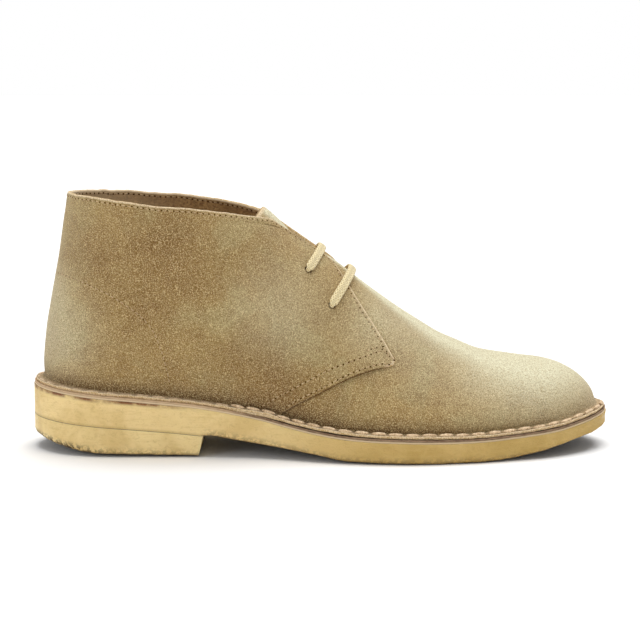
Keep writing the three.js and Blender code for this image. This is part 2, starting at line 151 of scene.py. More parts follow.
# One row for each section of the last: at, of its length; outer, inner, high, of the ball width;
# seat, of the heel seat; ridge, of the instep height.
SECTIONS = Table(
    "at outer inner high seat ridge",
    (0.00, 0.333, 0.328, 0.370, 1.000, 2.500),
    (0.05, 0.333, 0.328, 0.370, 0.954, 2.340),
    (0.10, 0.333, 0.328, 0.372, 0.915, 2.180),
    (0.20, 0.336, 0.328, 0.382, 0.847, 1.835),
    (0.30, 0.340, 0.313, 0.400, 0.762, 1.520),
    (0.40, 0.375, 0.284, 0.392, 0.626, 1.240),
    (0.45, 0.417, 0.284, 0.392, 0.541, 1.110),
    (0.50, 0.469, 0.313, 0.406, 0.470, 1.003),
    (0.55, 0.510, 0.354, 0.432, 0.421, 0.900),
    (0.60, 0.534, 0.396, 0.458, 0.399, 0.790),
    (0.65, 0.542, 0.432, 0.474, 0.388, 0.690),
    (0.70, 0.533, 0.458, 0.479, 0.380, 0.602),
    (0.75, 0.508, 0.469, 0.474, 0.377, 0.531),
    (0.80, 0.472, 0.460, 0.455, 0.388, 0.482),
    (0.90, 0.372, 0.380, 0.368, 0.443, 0.443),
    (0.95, 0.335, 0.341, 0.331, 0.508, 0.436),
    (1.00, 0.320, 0.325, 0.315, 0.590, 0.430),
)
# The back by its rise over the seat: how far it leans forward, and how far its plan takes to turn.
BACK = Table(
    "rise lean turn",
    (0.0, 0.7, 40), (10.0, 1.4, 40), (23.5, 2.9, 41), (44.5, 6.6, 43),
    (65.5, 10.4, 46), (86.5, 13.8, 49), (96.2, 15.3, 50),
)
# The collar's height, and how much higher it stands on the inner side.
COLLAR = Table(
    "x z rise",
    (-130.4, 132.8, 0.0), (-110, 131.2, 0.8), (-90, 128.6, 1.6), (-60, 125.0, 2.4),
    (-35, 120.9, 1.8), (-20, 116.8, 0.8), (-9, 110.8, 0.0),
)
# The quarter's edge seen from the side: down the facing, round its corner, back to the flange.
FACING = Table(
    "z x", (125, -16), (107.5, -2.7), (90.1, 10.7), (75.5, 20.5), (60.5, 30.5), (47.6, 38.4))
LOWER_EDGE = Table(
    "x z", (-34, 12), (-15.4, 25.6), (0, 34.2), (14.5, 41.6), (24.5, 45), (34.6, 46.9),
    (LOWER_CORNER_X, 47.3))
# Undersides of the crepe sheet and of the heel block, over the floor.
TREAD = Table(
    "x sheet block",
    (-151, 17.6, 7.4), (-140, 16.9, 4.6), (-128, 16.1, 1.9), (-114, 15.3, 0), (-86, 13.3, 0),
    (-58, 10.6, 0), (-41, 8.2, 0), (-20, 5, 0), (0, 1.9, 0), (14, 0, 0), (86, 0, 0),
    (100, 0.7, 0), (122, 2.9, 0), (140, 6.3, 0), (151, 10.6, 0),
)
# The tongue above the vamp. along: share of its length. x: station on the ridge. half: half width.
# depth: how far its middle lies under the last's skin. flat: how much nearer its sides lie.
TONGUE = Table(
    "along x half depth flat",
    (0.0, 8.0, 22, 0.4, 0.0), (0.2, 2.0, 22, 2.6, 0.0), (0.4, -6, 20.5, 3.3, 0.0),
    (0.6, -14, 18.5, 2.0, 0.0), (0.8, -21.5, 17, 1.0, -0.8), (1.0, -29.0, 16.5, 1.8, -0.8),
)
TONGUE_STEPS = 14
TONGUE_LONG = 26
# Steps around the quarters' skin, and across the vamp's.
QUARTER_COLUMNS = 168
VAMP_COLUMNS = 120
# Steps in which the feather line is measured, and halvings in a search along it.
FOOT_STEPS = 400
HALVINGS = 26

# Soft troughs and ridges on both sides: x and z, how long and wide, how deep, and the way each
# one lies, in degrees from level with the toe.
CREASES = (
    (4, 62, 26, 9, -0.9, 62),
    (-28, 66, 34, 12, -0.8, 84),
    (-62, 88, 30, 16, -0.6, 20),
    (-10, 44, 26, 9, 0.6, 58),
    (58, 50, 20, 6, -0.5, 74),
    (70, 44, 18, 5, 0.35, 78),
    (80, 38, 18, 6, -0.4, 82),
    (-112, 110, 26, 13, -0.5, 70),
    (-118, 62, 30, 16, 0.5, 80),
)


def clamp01(value):
    return min(1.0, max(0.0, value))


def turned(t):
    """A quarter circle's rise from 0 to 1."""
    return math.sqrt(1 - (1 - clamp01(t)) ** 2)


def ease(t):
    t = clamp01(t)
    return t * t * (3 - 2 * t)


def mix(a, b, t):
    return a + (b - a) * t


def halve(low, high, inside):
    """The place between low and high where inside stops being true."""
    for _ in range(HALVINGS):
        middle = (low + high) / 2
        if inside(middle):
            low = middle
        else:
            high = middle
    return low


# ---------------------------------------------------------------------------
# The last
# ---------------------------------------------------------------------------
def section(name, x):
    return SECTIONS(name, (x - LAST_BACK) / LAST_LENGTH)


def seat(x):
    return HEEL_SEAT * section("seat", x)


def back_x(z):
    return LAST_BACK + BACK("lean", z - HEEL_SEAT)


def ridge(x):
    foot = seat(x)
    return foot + (INSTEP_HEIGHT * section("ridge", x) - foot) * turned((TOE_X - x) / NOSE_TURN)


def crown_depth(x):
    return max(2.0, min(CROWN, 0.94 * (ridge(x) - seat(x))))


def half_width(x, z, side):
    """Half of the last's width at a place seen from the side; side is -1 outer and 1 inner."""
    foot, top = seat(x), ridge(x)
    rise = ease((z - foot) / min(60.0, max(4.0, 0.75 * (top - foot))))
    low = section("outer" if side < 0 else "inner", x)
    body = BALL_WIDTH * mix(low, section("high", x), rise) * turned((TOE_X - x) / TOE_TURN)
    tucked = TUCK * (1 - clamp01((z - foot) / TUCK_HEIGHT)) ** 2
    full = body - tucked * clamp01(body / 20)
    round_back = turned((x - back_x(z)) / BACK("turn", z - HEEL_SEAT))
    return full * turned((top - z) / crown_depth(x)) * round_back


def last_point(s, v, side):
    """A place on the last: s from the back to the ridge, v from the feather line to the collar."""
    if s > 1:
        s, side = 2 - s, -side
    if s < 0:
        s, side = -s, -side
    along = (1 - math.cos(math.pi * s)) / 2
    x = mix(back_x(HEEL_SEAT + BACK_HEIGHT * v), mix(TOE_X, THROAT_X, v**1.7), along)
    climb = v + (1 - v) * along ** (2.2 / v**0.6) if v > 0 else 0.0
    top = ridge(x)
    if x < THROAT_X:
        top = min(COLLAR("z", x) + (COLLAR("rise", x) if side > 0 else 0), top)
    z = mix(seat(x), top, climb)
    return Vector((x, side * half_width(x, z, side), z))


def last_normal(s, v, side):
    low = max(v - STEP, 0.004)
    high = min(low + 2 * STEP, 1.0)
    along = (last_point(s + STEP, v, side) - last_point(s - STEP, v, side)) * (-side)
    return along.cross(last_point(s, high, side) - last_point(s, low, side)).normalized()


def skin_at(x, z, side):
    """The point and outward normal on the last at a place seen from the side."""
    step = 0.4
    slope_x = (half_width(x + step, z, side) - half_width(x - step, z, side)) / (2 * step)
    slope_z = (half_width(x, z + step, side) - half_width(x, z - step, side)) / (2 * step)
    point = Vector((x, side * half_width(x, z, side), z))
    return point, Vector((-slope_x, side, -slope_z)).normalized()


def crown_point(x, y):
    """The point on the last over the ridge at a distance y from its middle."""
    wide = BALL_WIDTH * section("high", x)
    return Vector((x, y, ridge(x) - crown_depth(x) * (1 - math.sqrt(1 - (y / wide) ** 2))))


def crown_normal(x, y):
    along = crown_point(x + 0.5, y) - crown_point(x - 0.5, y)
    across = crown_point(x, y + 0.5) - crown_point(x, y - 0.5)
    return along.cross(across).normalized()


def foot_frame(s, side):
    """The feather line's point and the level direction out from it."""
    point = last_point(s, 0, side)
    along = (last_point(s + STEP, 0, side) - last_point(s - STEP, 0, side)) * (-side)
    return point, Vector((along.y, -along.x, 0)).normalized()


def crease(point):
    """How far the creases and a slight unevenness move the skin in or out at a point."""
    total = 0.0
    for x, z, long, wide, deep, turn in CREASES:
        dx, dz = point.x - x, point.z - z
        c, s = math.cos(math.radians(turn)), math.sin(math.radians(turn))
        total += deep * math.exp(-((dx * c + dz * s) / long) ** 2 - ((dz * c - dx * s) / wide) ** 2)
    return total + 0.35 * noise.noise(point * 0.035) + 0.12 * noise.noise(point * 0.11)


# ---------------------------------------------------------------------------
# Making pieces
# ---------------------------------------------------------------------------
def grid(columns, rows):
    """A flat bmesh grid one unit wide and long, before it is laid on the last."""
    bm = bmesh.new()
    bmesh.ops.create_grid(bm, x_segments=columns, y_segments=rows, size=0.5)
    return bm


def share(vert):
    """How far across and along its flat grid a vertex lies, each from 0 to 1."""
    return clamp01(vert.co.x + 0.5), clamp01(vert.co.y + 0.5)


def close_up(bm, near):
    """Merges a rolled-up grid's seam, fills its ends and turns its faces out."""
    bmesh.ops.remove_doubles(bm, verts=bm.verts, dist=near)
    bmesh.ops.holes_fill(bm, edges=[edge for edge in bm.edges if edge.is_boundary], sides=0)
    bmesh.ops.recalc_face_normals(bm, faces=bm.faces)


def piece(name, bm, replaces=()):
    """Turns a bmesh in millimetres on the last into a piece in metres in the frame."""
    bmesh.ops.translate(bm, verts=bm.verts, vec=(0, LAST_AXIS_Y, 0))
    bmesh.ops.scale(bm, verts=bm.verts, vec=(MM, MM, MM))
    mesh = bpy.data.meshes.new(name)
    bm.to_mesh(mesh)
    bm.free()
    for face in mesh.polygons:
        face.use_smooth = True
    obj = bpy.data.objects.new(name, mesh)
    bpy.context.scene.collection.objects.link(obj)
    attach(obj, "root")
    if replaces:
        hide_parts(*replaces)
    return obj


def apply_modifiers(obj):
    bpy.context.view_layer.update()
    graph = bpy.context.evaluated_depsgraph_get()
    mesh = bpy.data.meshes.new_from_object(
        obj.evaluated_get(graph), preserve_all_data_layers=True, depsgraph=graph)
    obj.modifiers.clear()
    obj.data = mesh


def thicken(obj, thick):
    """Gives a skin its wall inwards and rounds its raw edges."""
    wall = obj.modifiers.new("wall", "SOLIDIFY")
    wall.thickness = thick * MM
    wall.offset = -1
    wall.material_offset = 1
    wall.material_offset_rim = 2
    wall.edge_crease_rim = 0.5
    smooth = obj.modifiers.new("smooth", "SUBSURF")
    smooth.levels = smooth.render_levels = 1
    apply_modifiers(obj)


def set_float(bm, name, values):
    """Keeps one value for each vertex, for the finishes to read."""
    layer = bm.verts.layers.float.new(name)
    for vert, value in zip(bm.verts, values):
        vert[layer] = value


# ---------------------------------------------------------------------------
# Upper
# ---------------------------------------------------------------------------
# Rows in over the flange, from its edge to its fold: how far beyond the feather line and over the
# seat each one lies.
FLANGE_ROWS = (
    (FLANGE_WIDTH, -0.15), (4.9, 0.0), (4.2, 0.05), (3.3, 0.0), (2.4, 0.0), (1.5, 0.12), (0.75, 0.5))


def flange_wave(x, length):
    """The slack of the flange's edge between its stitches."""
    strength = 0.25 + 0.55 * math.exp(-((x - 5) / 60) ** 2)
    return strength * (0.5 - 0.5 * math.cos(2 * math.pi * length / SOLE_STITCH_PITCH))


def foot_lengths():
    """Distance along the feather line from the back, on each side."""
    tables = {}
    for side in (-1, 1):
        total, last, rows = 0.0, None, []
        for i in range(FOOT_STEPS + 1):
            point = last_point(i / FOOT_STEPS, 0, side)
            total += (point - last).length if last else 0.0
            last = point
            rows.append(total)
        tables[side] = rows
    return tables


FOOT_LENGTHS = foot_lengths()


def foot_length(s, side):
    rows = FOOT_LENGTHS[side]
    place = clamp01(s) * (len(rows) - 1)
    low = min(int(place), len(rows) - 2)
    return mix(rows[low], rows[low + 1], place - low)


def flange_point(s, side, out, up, proud=0.0):
    """A place on the flange, wavier and rougher toward its edge."""
    point, away = foot_frame(s, side)
    free = clamp01((out - 1.5) / 3.5)
    wave = flange_wave(point.x, foot_length(s, side)) * free**1.5
    rough = 0.25 * noise.noise(point * 0.9) * free + 0.35 * noise.noise(point * 0.22) * free
    ragged = 0.3 * noise.noise(point * 0.5 + Vector((9, 0, 0))) * free
    reach = out + proud * (1 - free) + ragged
    return point + away * reach + UP * (up + wave + rough)


def quarter_covers(point):
    """Whether a place on the last lies under the quarters."""
    in_front = point.x >= FACING("x", point.z)
    if in_front or point.z <= LOWER_EDGE("z", min(point.x, LOWER_CORNER_X)):
        return False
    gap = FACING_GAP + THROAT_SPREAD * clamp01((SPREAD_FROM - point.x) / SPREAD_RUN)
    return abs(point.y) > gap or point.x < FACING_END


def quarter_end(v, side):
    """The share s where the row v leaves the quarter."""
    return halve(0.2, 1.0, lambda s: quarter_covers(last_point(s, v, side)))


def spread(parts):
    """Rows of v: each part gives a mark and the number of steps up to it."""
    rows = [parts[0][0]]
    for (start, _), (end, steps) in zip(parts, parts[1:]):
        rows += [mix(start, end, (k + 1) / steps) for k in range(steps)]
    return rows


# Ahead of OVER_FROM the quarters' flange rises on to the vamp's, which dips under it behind
# UNDER_FROM.
FLANGE_OVER, OVER_FROM, OVER_RUN = 0.9, -46, 20
FLANGE_UNDER, UNDER_FROM, UNDER_RUN = 0.7, -24, 12
QUARTER_FOOT_X = -19

# A place nearer to its grid's end than this is on the rim. The rim is searched in steps between
# its places, and its lower edge counts as near within UNDER_REACH.
RIM = 0.0001
RIM_STEPS = 4
UNDER_REACH = 4.0
QUARTER_V = spread([(0.02, 0), (0.06, 2), (0.58, 19), (0.74, 13), (0.9, 8), (1.0, 7)])


def over_flange(x):
    """How far the quarters' flange lies over the vamp's, where both reach the edge."""
    return FLANGE_OVER * ease((x - OVER_FROM) / OVER_RUN)


def rim_order(place):
    """Sorts a grid's rim: up its first side, along its top, down its last side."""
    across, along = place
    if across < RIM:
        return 0, along
    return (2, -along) if across > 1 - RIM else (1, across)


def rim_distances(placed, border):
    """For each place, how far the border is, and 1 where its lower edge is the nearest."""
    tree, lower = KDTree(len(border) * RIM_STEPS), []
    for start, end in zip(border, border[1:]):
        for k in range(RIM_STEPS):
            tree.insert(start.lerp(end, k / RIM_STEPS), len(lower))
            lower.append(1.0 if start.z < CORNER_HIGH else 0.0)
    tree.balance()
    found = [tree.find(point) for point in placed]
    return ([far for _, _, far in found],
            [lower[nearest] if far < UNDER_REACH else 0.0 for _, nearest, far in found])


def make_quarters():
    """Both quarters as one skin, with the values edge, under and rise: how far the raw edge is,
    1 near the lower edge, and the height over the seat, below 0 on the flange."""
    flange = len(FLANGE_ROWS)
    rows = flange + len(QUARTER_V) - 1
    ends = {(side, v): quarter_end(v, side) for side in (-1, 1) for v in QUARTER_V}
    bm = grid(QUARTER_COLUMNS, rows)
    shares = [share(vert) for vert in bm.verts]
    rise_values, placed = [], []
    for across, along in shares:
        a = 1 - 2 * across
        side = -1 if a < 0 else 1
        row = round(along * rows)
        if row < flange:
            end = ends[side, QUARTER_V[0]]
            s = abs(a) * end
            out, up = FLANGE_ROWS[row]
            up += over_flange(last_point(s, 0, side).x)
            placed.append(flange_point(s, side, out, up, CREASE_PROUD))
            rise_values.append(-out)
        else:
            v = QUARTER_V[row - flange]
            s = abs(a) * ends[side, v]
            point = last_point(s, v, side)
            lift = mix(CREASE_PROUD, QUARTER_PROUD, ease(v / 0.1)) + crease(point) * ease(v / 0.12)
            place = point + last_normal(s, v, side) * lift
            rim = ease((v - 0.9) / 0.1)
            place.z += rim * (0.45 * noise.noise(point * 0.06) + 0.3 * noise.noise(point * 0.45))
            placed.append(place)
            rise_values.append(point.z - seat(point.x))
    rim = [i for i, (across, along) in enumerate(shares)
           if along > 1 - RIM or (min(across, 1 - across) < RIM and round(along * rows) >= flange)]
    border = [placed[i] for i in sorted(rim, key=lambda i: rim_order(shares[i]))]
    edge_values, under_values = rim_distances(placed, border)
    for vert, point in zip(bm.verts, placed):
        vert.co = point
    set_float(bm, "edge", edge_values)
    set_float(bm, "under", under_values)
    set_float(bm, "rise", rise_values)
    return piece("quarters", bm, replaces=("upper",)), border


# Where the vamp's hidden sides start, as a share s of each row.
VAMP_SIDE = Table(
    "v s", (0.0, 0.40), (0.25, 0.45), (0.5, 0.58), (0.7, 0.67), (0.86, 0.76), (0.94, 0.80))
VAMP_V = spread([(0.012, 0), (0.05, 3), (0.55, 20), (0.86, 14), (0.94, 4)])


def tongue_point(along, across):
    """A place on the tongue: along from the vamp to its end, across from -1 to 1."""
    x = TONGUE("x", along) - 3.4 * across**2 * ease((along - 0.6) / 0.4)
    y = across * TONGUE("half", along)
    flat = TONGUE("flat", along) * across**2
    wave = 0.5 * math.sin(4 * across + 1) * ease((along - 0.6) / 0.4)
    return crown_point(x, y) - crown_normal(x, y) * (TONGUE("depth", along) - flat - wave)


def make_vamp():
    """The vamp with the tongue in one skin; its value crown is 1 along the middle."""
    flange = len(FLANGE_ROWS)
    rows = flange + len(VAMP_V) + TONGUE_STEPS - 1
    bm = grid(VAMP_COLUMNS, rows)
    rise_values, edge_values, crown_values, placed = [], [], [], []
    for vert in bm.verts:
        a, b = share(vert)
        a = 2 * a - 1
        crown_values.append(1 - abs(a))
        side = -1 if a < 0 else 1
        row = round(b * rows)
        v = 0.0 if row < flange else VAMP_V[min(row - flange, len(VAMP_V) - 1)]
        s = 1 - abs(a) * (1 - VAMP_SIDE("s", v))
        point = last_point(s, v, side)
        if row < flange:
            out, up = FLANGE_ROWS[row]
            under = FLANGE_UNDER * ease((UNDER_FROM - point.x) / UNDER_RUN)
            placed.append(flange_point(s, side, out, up - under))
            rise_values.append(-out)
            edge_values.append(NO_EDGE)
            continue
        hidden = VAMP_UNDER if quarter_covers(point) else 0.0
        lift = crease(point) * ease(v / 0.12) - hidden
        place = point + last_normal(s, v, side) * lift
        edge = NO_EDGE
        if row - flange >= len(VAMP_V):
            along = (row - flange - len(VAMP_V) + 1) / TONGUE_STEPS
            foot = place.y / TONGUE("half", 0)
            target = tongue_point(along, mix(foot, a, ease(along / 0.7)))
            place = target + (place - tongue_point(0, foot)) * (1 - ease(along / 0.25))
            edge = TONGUE_LONG * (1 - along)
        edge_values.append(edge)
        placed.append(place)
        rise_values.append(place.z - seat(place.x))
    for vert, point in zip(bm.verts, placed):
        vert.co = point
    set_float(bm, "edge", edge_values)
    set_float(bm, "rise", rise_values)
    set_float(bm, "crown", crown_values)
    return piece("vamp_and_tongue", bm, replaces=("upper", "tongue"))


def punch(obj, places):
    """Cuts the eyelet holes through a finished wall."""
    cutters = []
    for point, normal in places:
        bm = bmesh.new()
        bmesh.ops.create_cone(bm, segments=20, radius1=EYELET_RADIUS, radius2=EYELET_RADIUS,
                              depth=PUNCH_DEPTH, cap_ends=True)
        turn = UP.rotation_difference(normal).to_matrix()
        bmesh.ops.rotate(bm, verts=bm.verts, cent=(0, 0, 0), matrix=turn)
        bmesh.ops.translate(bm, verts=bm.verts, vec=point + Vector((0, LAST_AXIS_Y, 0)))
        bmesh.ops.scale(bm, verts=bm.verts, vec=(MM, MM, MM))
        mesh = bpy.data.meshes.new("punch")
        bm.to_mesh(mesh)
        bm.free()
        cutter = bpy.data.objects.new("punch", mesh)
        bpy.context.scene.collection.objects.link(cutter)
        cut = obj.modifiers.new("eyelet", "BOOLEAN")
        cut.object = cutter
        cut.operation = "DIFFERENCE"
        cut.solver = "EXACT"
        cutters.append(cutter)
    apply_modifiers(obj)
    for cutter in cutters:
        bpy.data.objects.remove(cutter)


# ---------------------------------------------------------------------------
# Sole
# ---------------------------------------------------------------------------
# How far the worn lower edge lifts over the tread, along the boot.
EDGE_LIFT = Table(
    "x lift",
    (-151, 0.6), (-140, 1.2), (-118, 1.6), (-100, 1.4), (-72, 1.0), (-61, 0.8), (-30, 0.6),
    (0, 1.2), (60, 0.3), (90, 0.8), (112, 2.2), (131, 4.0), (142, 3.0), (151, 2.0),
)
CREPE_ROUGH = 0.32
CORNER_WEAR = 1.5
SIDE_HOLLOW = 0.35
# Places across the top and the bottom of a sole layer's section.
SOLE_ACROSS = 6
# Corners of a sole layer that lie nearer than this are one.
SOLE_MERGE = 0.02


def slab_profile(sides):
    """A slab's section in turn: the place across, -1 to 1, and the level, 0 below and 1 above."""
    down = [1.0] + [1 - (k + 1) / (sides + 1) for k in range(sides)] + [0.0]
    profile = [(-1 + 2 * k / SOLE_ACROSS, 1.0) for k in range(SOLE_ACROSS)]
    profile += [(1, level) for level in down]
    profile += [(1 - 2 * (k + 1) / SOLE_ACROSS, 0.0) for k in range(SOLE_ACROSS)]
    profile += [(-1, level) for level in reversed(down[1:-1])]
    return profile + profile[:1]


def sole_loft(name, reach, top, bottom, columns, sides, node,
              s_end=1.0, rough=0.0, slope=0.0, worn=None):
    """A closed slab along the last between two heights, cut square at s_end. reach: how far its
    edge stands out from the feather line. Its values are level, worn, and sheet, which is 1 on a
    layer of the full length."""
    profile = slab_profile(sides)
    bm = grid(len(profile) - 1, columns)
    levels, wears = [], []
    for vert in bm.verts:
        a, b = share(vert)
        across, level = profile[round(a * (len(profile) - 1))]
        s = b * s_end
        foot = last_point(s, 0, 1)
        wear = worn(foot.x) if worn else 0.0
        corner = wear * CORNER_WEAR * (1 - clamp01(level / 0.2)) ** 2
        hollow = SIDE_HOLLOW * math.sin(math.pi * level) * ease((foot.x - BREAST_X) / 20)
        ends = []
        for side in (-1, 1):
            point, away = foot_frame(s, side)
            ends.append(point + away * (reach - corner - hollow))
        place = ends[0].lerp(ends[1], (across + 1) / 2)
        place.z = mix(bottom(place.x, foot.z), top(place.x, foot.z), level)
        place.z += wear * EDGE_LIFT("lift", place.x) * (1 - level) ** 3 * abs(across) ** 3
        if slope:
            place.x += slope * (level - 0.5) * ease((b - 0.8) / 0.2)
        if rough and abs(across) == 1:
            away = foot_frame(s, -1 if across < 0 else 1)[1]
            crumbly = 0.35 + 1.3 * wear * (1 - clamp01(level / 0.3))
            dents = noise.noise(place * 0.16) + 0.6 * noise.noise(place * 0.5)
            place += away * rough * crumbly * dents
        levels.append(level)
        wears.append(wear)
        vert.co = place
    set_float(bm, "level", levels)
    set_float(bm, "worn", wears)
    set_float(bm, "sheet", [1.0 if s_end == 1 else 0.0] * len(levels))
    close_up(bm, SOLE_MERGE)
    for edge in bm.edges:
        edge.smooth = edge.calc_face_angle(0) < SHARP_EDGE
    return piece(name, bm, replaces=(node,))


def tread(name, x):
    return max(0.0, TREAD(name, x))


def breast_share():
    """The share s of the heel block's breast."""
    return halve(0.0, 1.0, lambda s: last_point(s, 0, -1).x < BREAST_X)


def make_sole():
    """The four layers. top and bottom take a place's x and the height of the last's seat there."""
    outsole = sole_loft(
        "crepe_sheet", FLANGE_WIDTH + OUTSOLE_EDGE, top=lambda x, z: z - OUTSOLE_DROP,
        bottom=lambda x, z: tread("sheet", x), columns=150, sides=9, node="outsole",
        rough=CREPE_ROUGH, worn=lambda x: ease((x - BREAST_X) / 4))
    heel = sole_loft(
        "crepe_heel", FLANGE_WIDTH + OUTSOLE_EDGE, top=lambda x, z: tread("sheet", x) - 0.02,
        bottom=lambda x, z: tread("block", x), columns=60, sides=10, node="heel",
        s_end=breast_share(), rough=CREPE_ROUGH, slope=BREAST_SLOPE, worn=lambda x: 1.0)
    midsole = sole_loft(
        "midsole_board", FLANGE_WIDTH + 0.5, top=lambda x, z: z - FLANGE_THICK - 0.12,
        bottom=lambda x, z: z - OUTSOLE_DROP + 0.05, columns=150, sides=5,
        node="midsole", rough=0.22)
    insole = sole_loft(
        "footbed", -2.2, top=lambda x, z: z - FLANGE_THICK + 3,
        bottom=lambda x, z: z - FLANGE_THICK, columns=80, sides=2, node="insole")
    return outsole, heel, midsole, insole


# ---------------------------------------------------------------------------
# Lace
# ---------------------------------------------------------------------------
EYELETS = ({"x": -6.9, "z": 93.7, "ridge_x": -0.6}, {"x": 5.3, "z": 76.4, "ridge_x": 15.0})
OVER = QUARTER_PROUD + LACE_THICK / 2 + 0.15
INSIDE = -(0.7 + LACE_THICK / 2)
OFF_RIDGE = Vector((0.6, 0, 0.8))
# How far a bar of the lace has climbed from its eyelet to the ridge at each of its places.
CLIMB = (0.1, 0.22, 0.4, 0.62, 0.82, 0.95)


def lace_path():
    """The lace's run, as points with the normal they lie on and how flat the lace is there."""
    upper, lower = EYELETS
    points = []

    def put(place, distance, flat):
        points.append((place[0] + place[1] * distance, place[1], flat))

    def between(a, b, t, side):
        return skin_at(mix(a["x"], b["x"], t), mix(a["z"], b["z"], t), side)

    def bar(eyelet, side):
        crest = {"x": eyelet["ridge_x"], "z": ridge(eyelet["ridge_x"])}
        for t in CLIMB:
            put(between(eyelet, crest, t, side), OVER, 1.0)
        put((Vector((crest["x"], 0, crest["z"])), OFF_RIDGE), OVER, 1.0)
        for t in reversed(CLIMB):
            put(between(eyelet, crest, t, -side), OVER, 1.0)

    def hole(eyelet, side, inward):
        place = skin_at(eyelet["x"], eyelet["z"], side)
        depths = [(QUARTER_PROUD + 0.6, 0.3), (0.2, 0.0), (INSIDE + 0.5, 0.0)]
        for depth, flat in depths if inward else reversed(depths):
            put(place, depth, flat)

    put(between(upper, lower, -0.2, 1), INSIDE, 0.2)
    hole(upper, 1, False)
    bar(upper, 1)
    hole(upper, -1, True)
    for t in (0.2, 0.5, 0.8):
        put(between(upper, lower, t, -1), INSIDE, 0.4)
    hole(lower, -1, False)
    bar(lower, -1)
    hole(lower, 1, True)
    for t in (0.8, 0.5, 0.32):
        put(between(upper, lower, t, 1), INSIDE, 0.4)
    return points


def curve_point(points, t):
    """A smooth curve through points, t from 0 to 1."""
    place = clamp01(t) * (len(points) - 1)
    i = min(int(place), len(points) - 2)
    u = place - i
    p = [points[max(i - 1, 0)], points[i], points[i + 1], points[min(i + 2, len(points) - 1)]]
    return 0.5 * (2 * p[1] + (p[2] - p[0]) * u + (2 * p[0] - 5 * p[1] + 4 * p[2] - p[3]) * u**2
                  + (3 * p[1] - p[0] - 3 * p[2] + p[3]) * u**3)


def make_lace():
    """A closed tube along the run: a flat oval where it lies on the quarters, round in a hole."""
    path = lace_path()
    places = [row[0] for row in path]
    normals = [row[1] for row in path]
    steps, sides = 330, 20
    bm = grid(sides, steps)
    rings, lengths, frame_up, total = [], [], None, 0.0
    for j in range(steps + 1):
        t = j / steps
        here = curve_point(places, t)
        if j:
            total += (here - curve_point(places, (j - 1) / steps)).length
        tangent = (curve_point(places, t + 0.002) - curve_point(places, t - 0.002)).normalized()
        normal = curve_point(normals, t).normalized()
        place = t * (len(path) - 1)
        low = min(int(place), len(path) - 2)
        flat = ease(mix(path[low][2], path[low + 1][2], place - low))
        up = frame_up or normal
        frame_up = (up - tangent * up.dot(tangent)).normalized()
        side = tangent.cross(frame_up)
        lie = math.atan2(normal.dot(side), normal.dot(frame_up))
        wide = mix(LACE_ROUND, LACE_WIDTH / 2, flat)
        high = mix(LACE_ROUND, LACE_THICK / 2, flat)
        ring = []
        for i in range(sides + 1):
            angle = 2 * math.pi * i / sides
            c, s = abs(math.cos(angle - lie)) / high, abs(math.sin(angle - lie)) / wide
            reach = (c**SQUARENESS + s**SQUARENESS) ** (-1 / SQUARENESS)
            ring.append(here + frame_up * reach * math.cos(angle) + side * reach * math.sin(angle))
        rings.append(ring)
        lengths.append(total)
    uv = bm.loops.layers.uv.new("braid")
    for face in bm.faces:
        for loop in face.loops:
            a, b = share(loop.vert)
            loop[uv].uv = (a, lengths[round(b * steps)] / 10)
    for vert in bm.verts:
        a, b = share(vert)
        vert.co = rings[round(b * steps)][round(a * sides)]
    close_up(bm, 0.001)
    return piece("lace_run", bm, replaces=("lace",))


# ---------------------------------------------------------------------------
# Stitches
# ---------------------------------------------------------------------------
def resample(points, pitch):
    """Points a pitch apart along a polyline, each with the direction of the line."""
    out, carry = [], pitch / 2
    for a, b in zip(points, points[1:]):
        length = (b - a).length
        while carry < length:
            out.append((a.lerp(b, carry / length), (b - a).normalized()))
            carry += pitch
        carry -= length
    return out


def surface_tree(*objects):
    """A tree over finished pieces, to lay stitches on, in millimetres on the last."""
    verts, faces = [], []
    for obj in objects:
        start = len(verts)
        verts += [vert.co / MM - Vector((0, LAST_AXIS_Y, 0)) for vert in obj.data.vertices]
        faces += [[start + i for i in face.vertices] for face in obj.data.polygons]
    return BVHTree.FromPolygons(verts, faces)


def add_bead(bm, place, along, up, size, segments=6, rings=4):
    """A small closed bead, long in one direction, that lies on a surface."""
    made = bmesh.ops.create_uvsphere(bm, u_segments=segments, v_segments=rings, radius=1.0)["verts"]
    across = up.cross(along).normalized()
    turn = Matrix((along * size[0], across * size[1], up * size[2])).transposed()
    for vert in made:
        vert.co = place + turn @ vert.co.yzx


def surface_at(tree, point):
    """The nearest place on the surface and the normal that looks out of the boot there."""
    spot, normal = tree.find_nearest(point)[:2]
    away = Vector((0.0, spot.y, 0.35 * (spot.z - BOOT_MIDDLE_Z)))
    return spot, normal if normal.dot(away) > 0 else -normal


def stitch_row(threads, holes, tree, line, size, hole_size, sunk=STITCH_SUNK, inner=None):
    """Threads and needle holes along a line laid on the surface, sunk into it a little; the holes are dark
    beads of painted shade. inner: how far below the surface the row shows once more, on the lining."""
    for place, direction in resample(line, STITCH_PITCH):
        here, up = surface_at(tree, place)
        along = (direction - up * direction.dot(up)).normalized()
        sway = up.cross(along) * random.uniform(-STITCH_SWAY, STITCH_SWAY)
        gap = tree.find_nearest(here + along * STITCH_PITCH / 2)[0]
        add_bead(threads, here - up * sunk + sway, along, up, size)
        add_bead(holes, gap - up * HOLE_SUNK, along, up, hole_size)
        if inner:
            add_bead(threads, here - up * inner, along, up, size)
            add_bead(holes, gap - up * inner, along, up, hole_size)


def inset_line(border, tree, distance):
    """The border of the quarters moved in over their own surface."""
    line = []
    for i, point in enumerate(border):
        before, after = border[max(i - 2, 0)], border[min(i + 2, len(border) - 1)]
        along = (after - before).normalized()
        up = surface_at(tree, point)[1]
        line.append(point + along.cross(up).normalized() * distance)
    return line


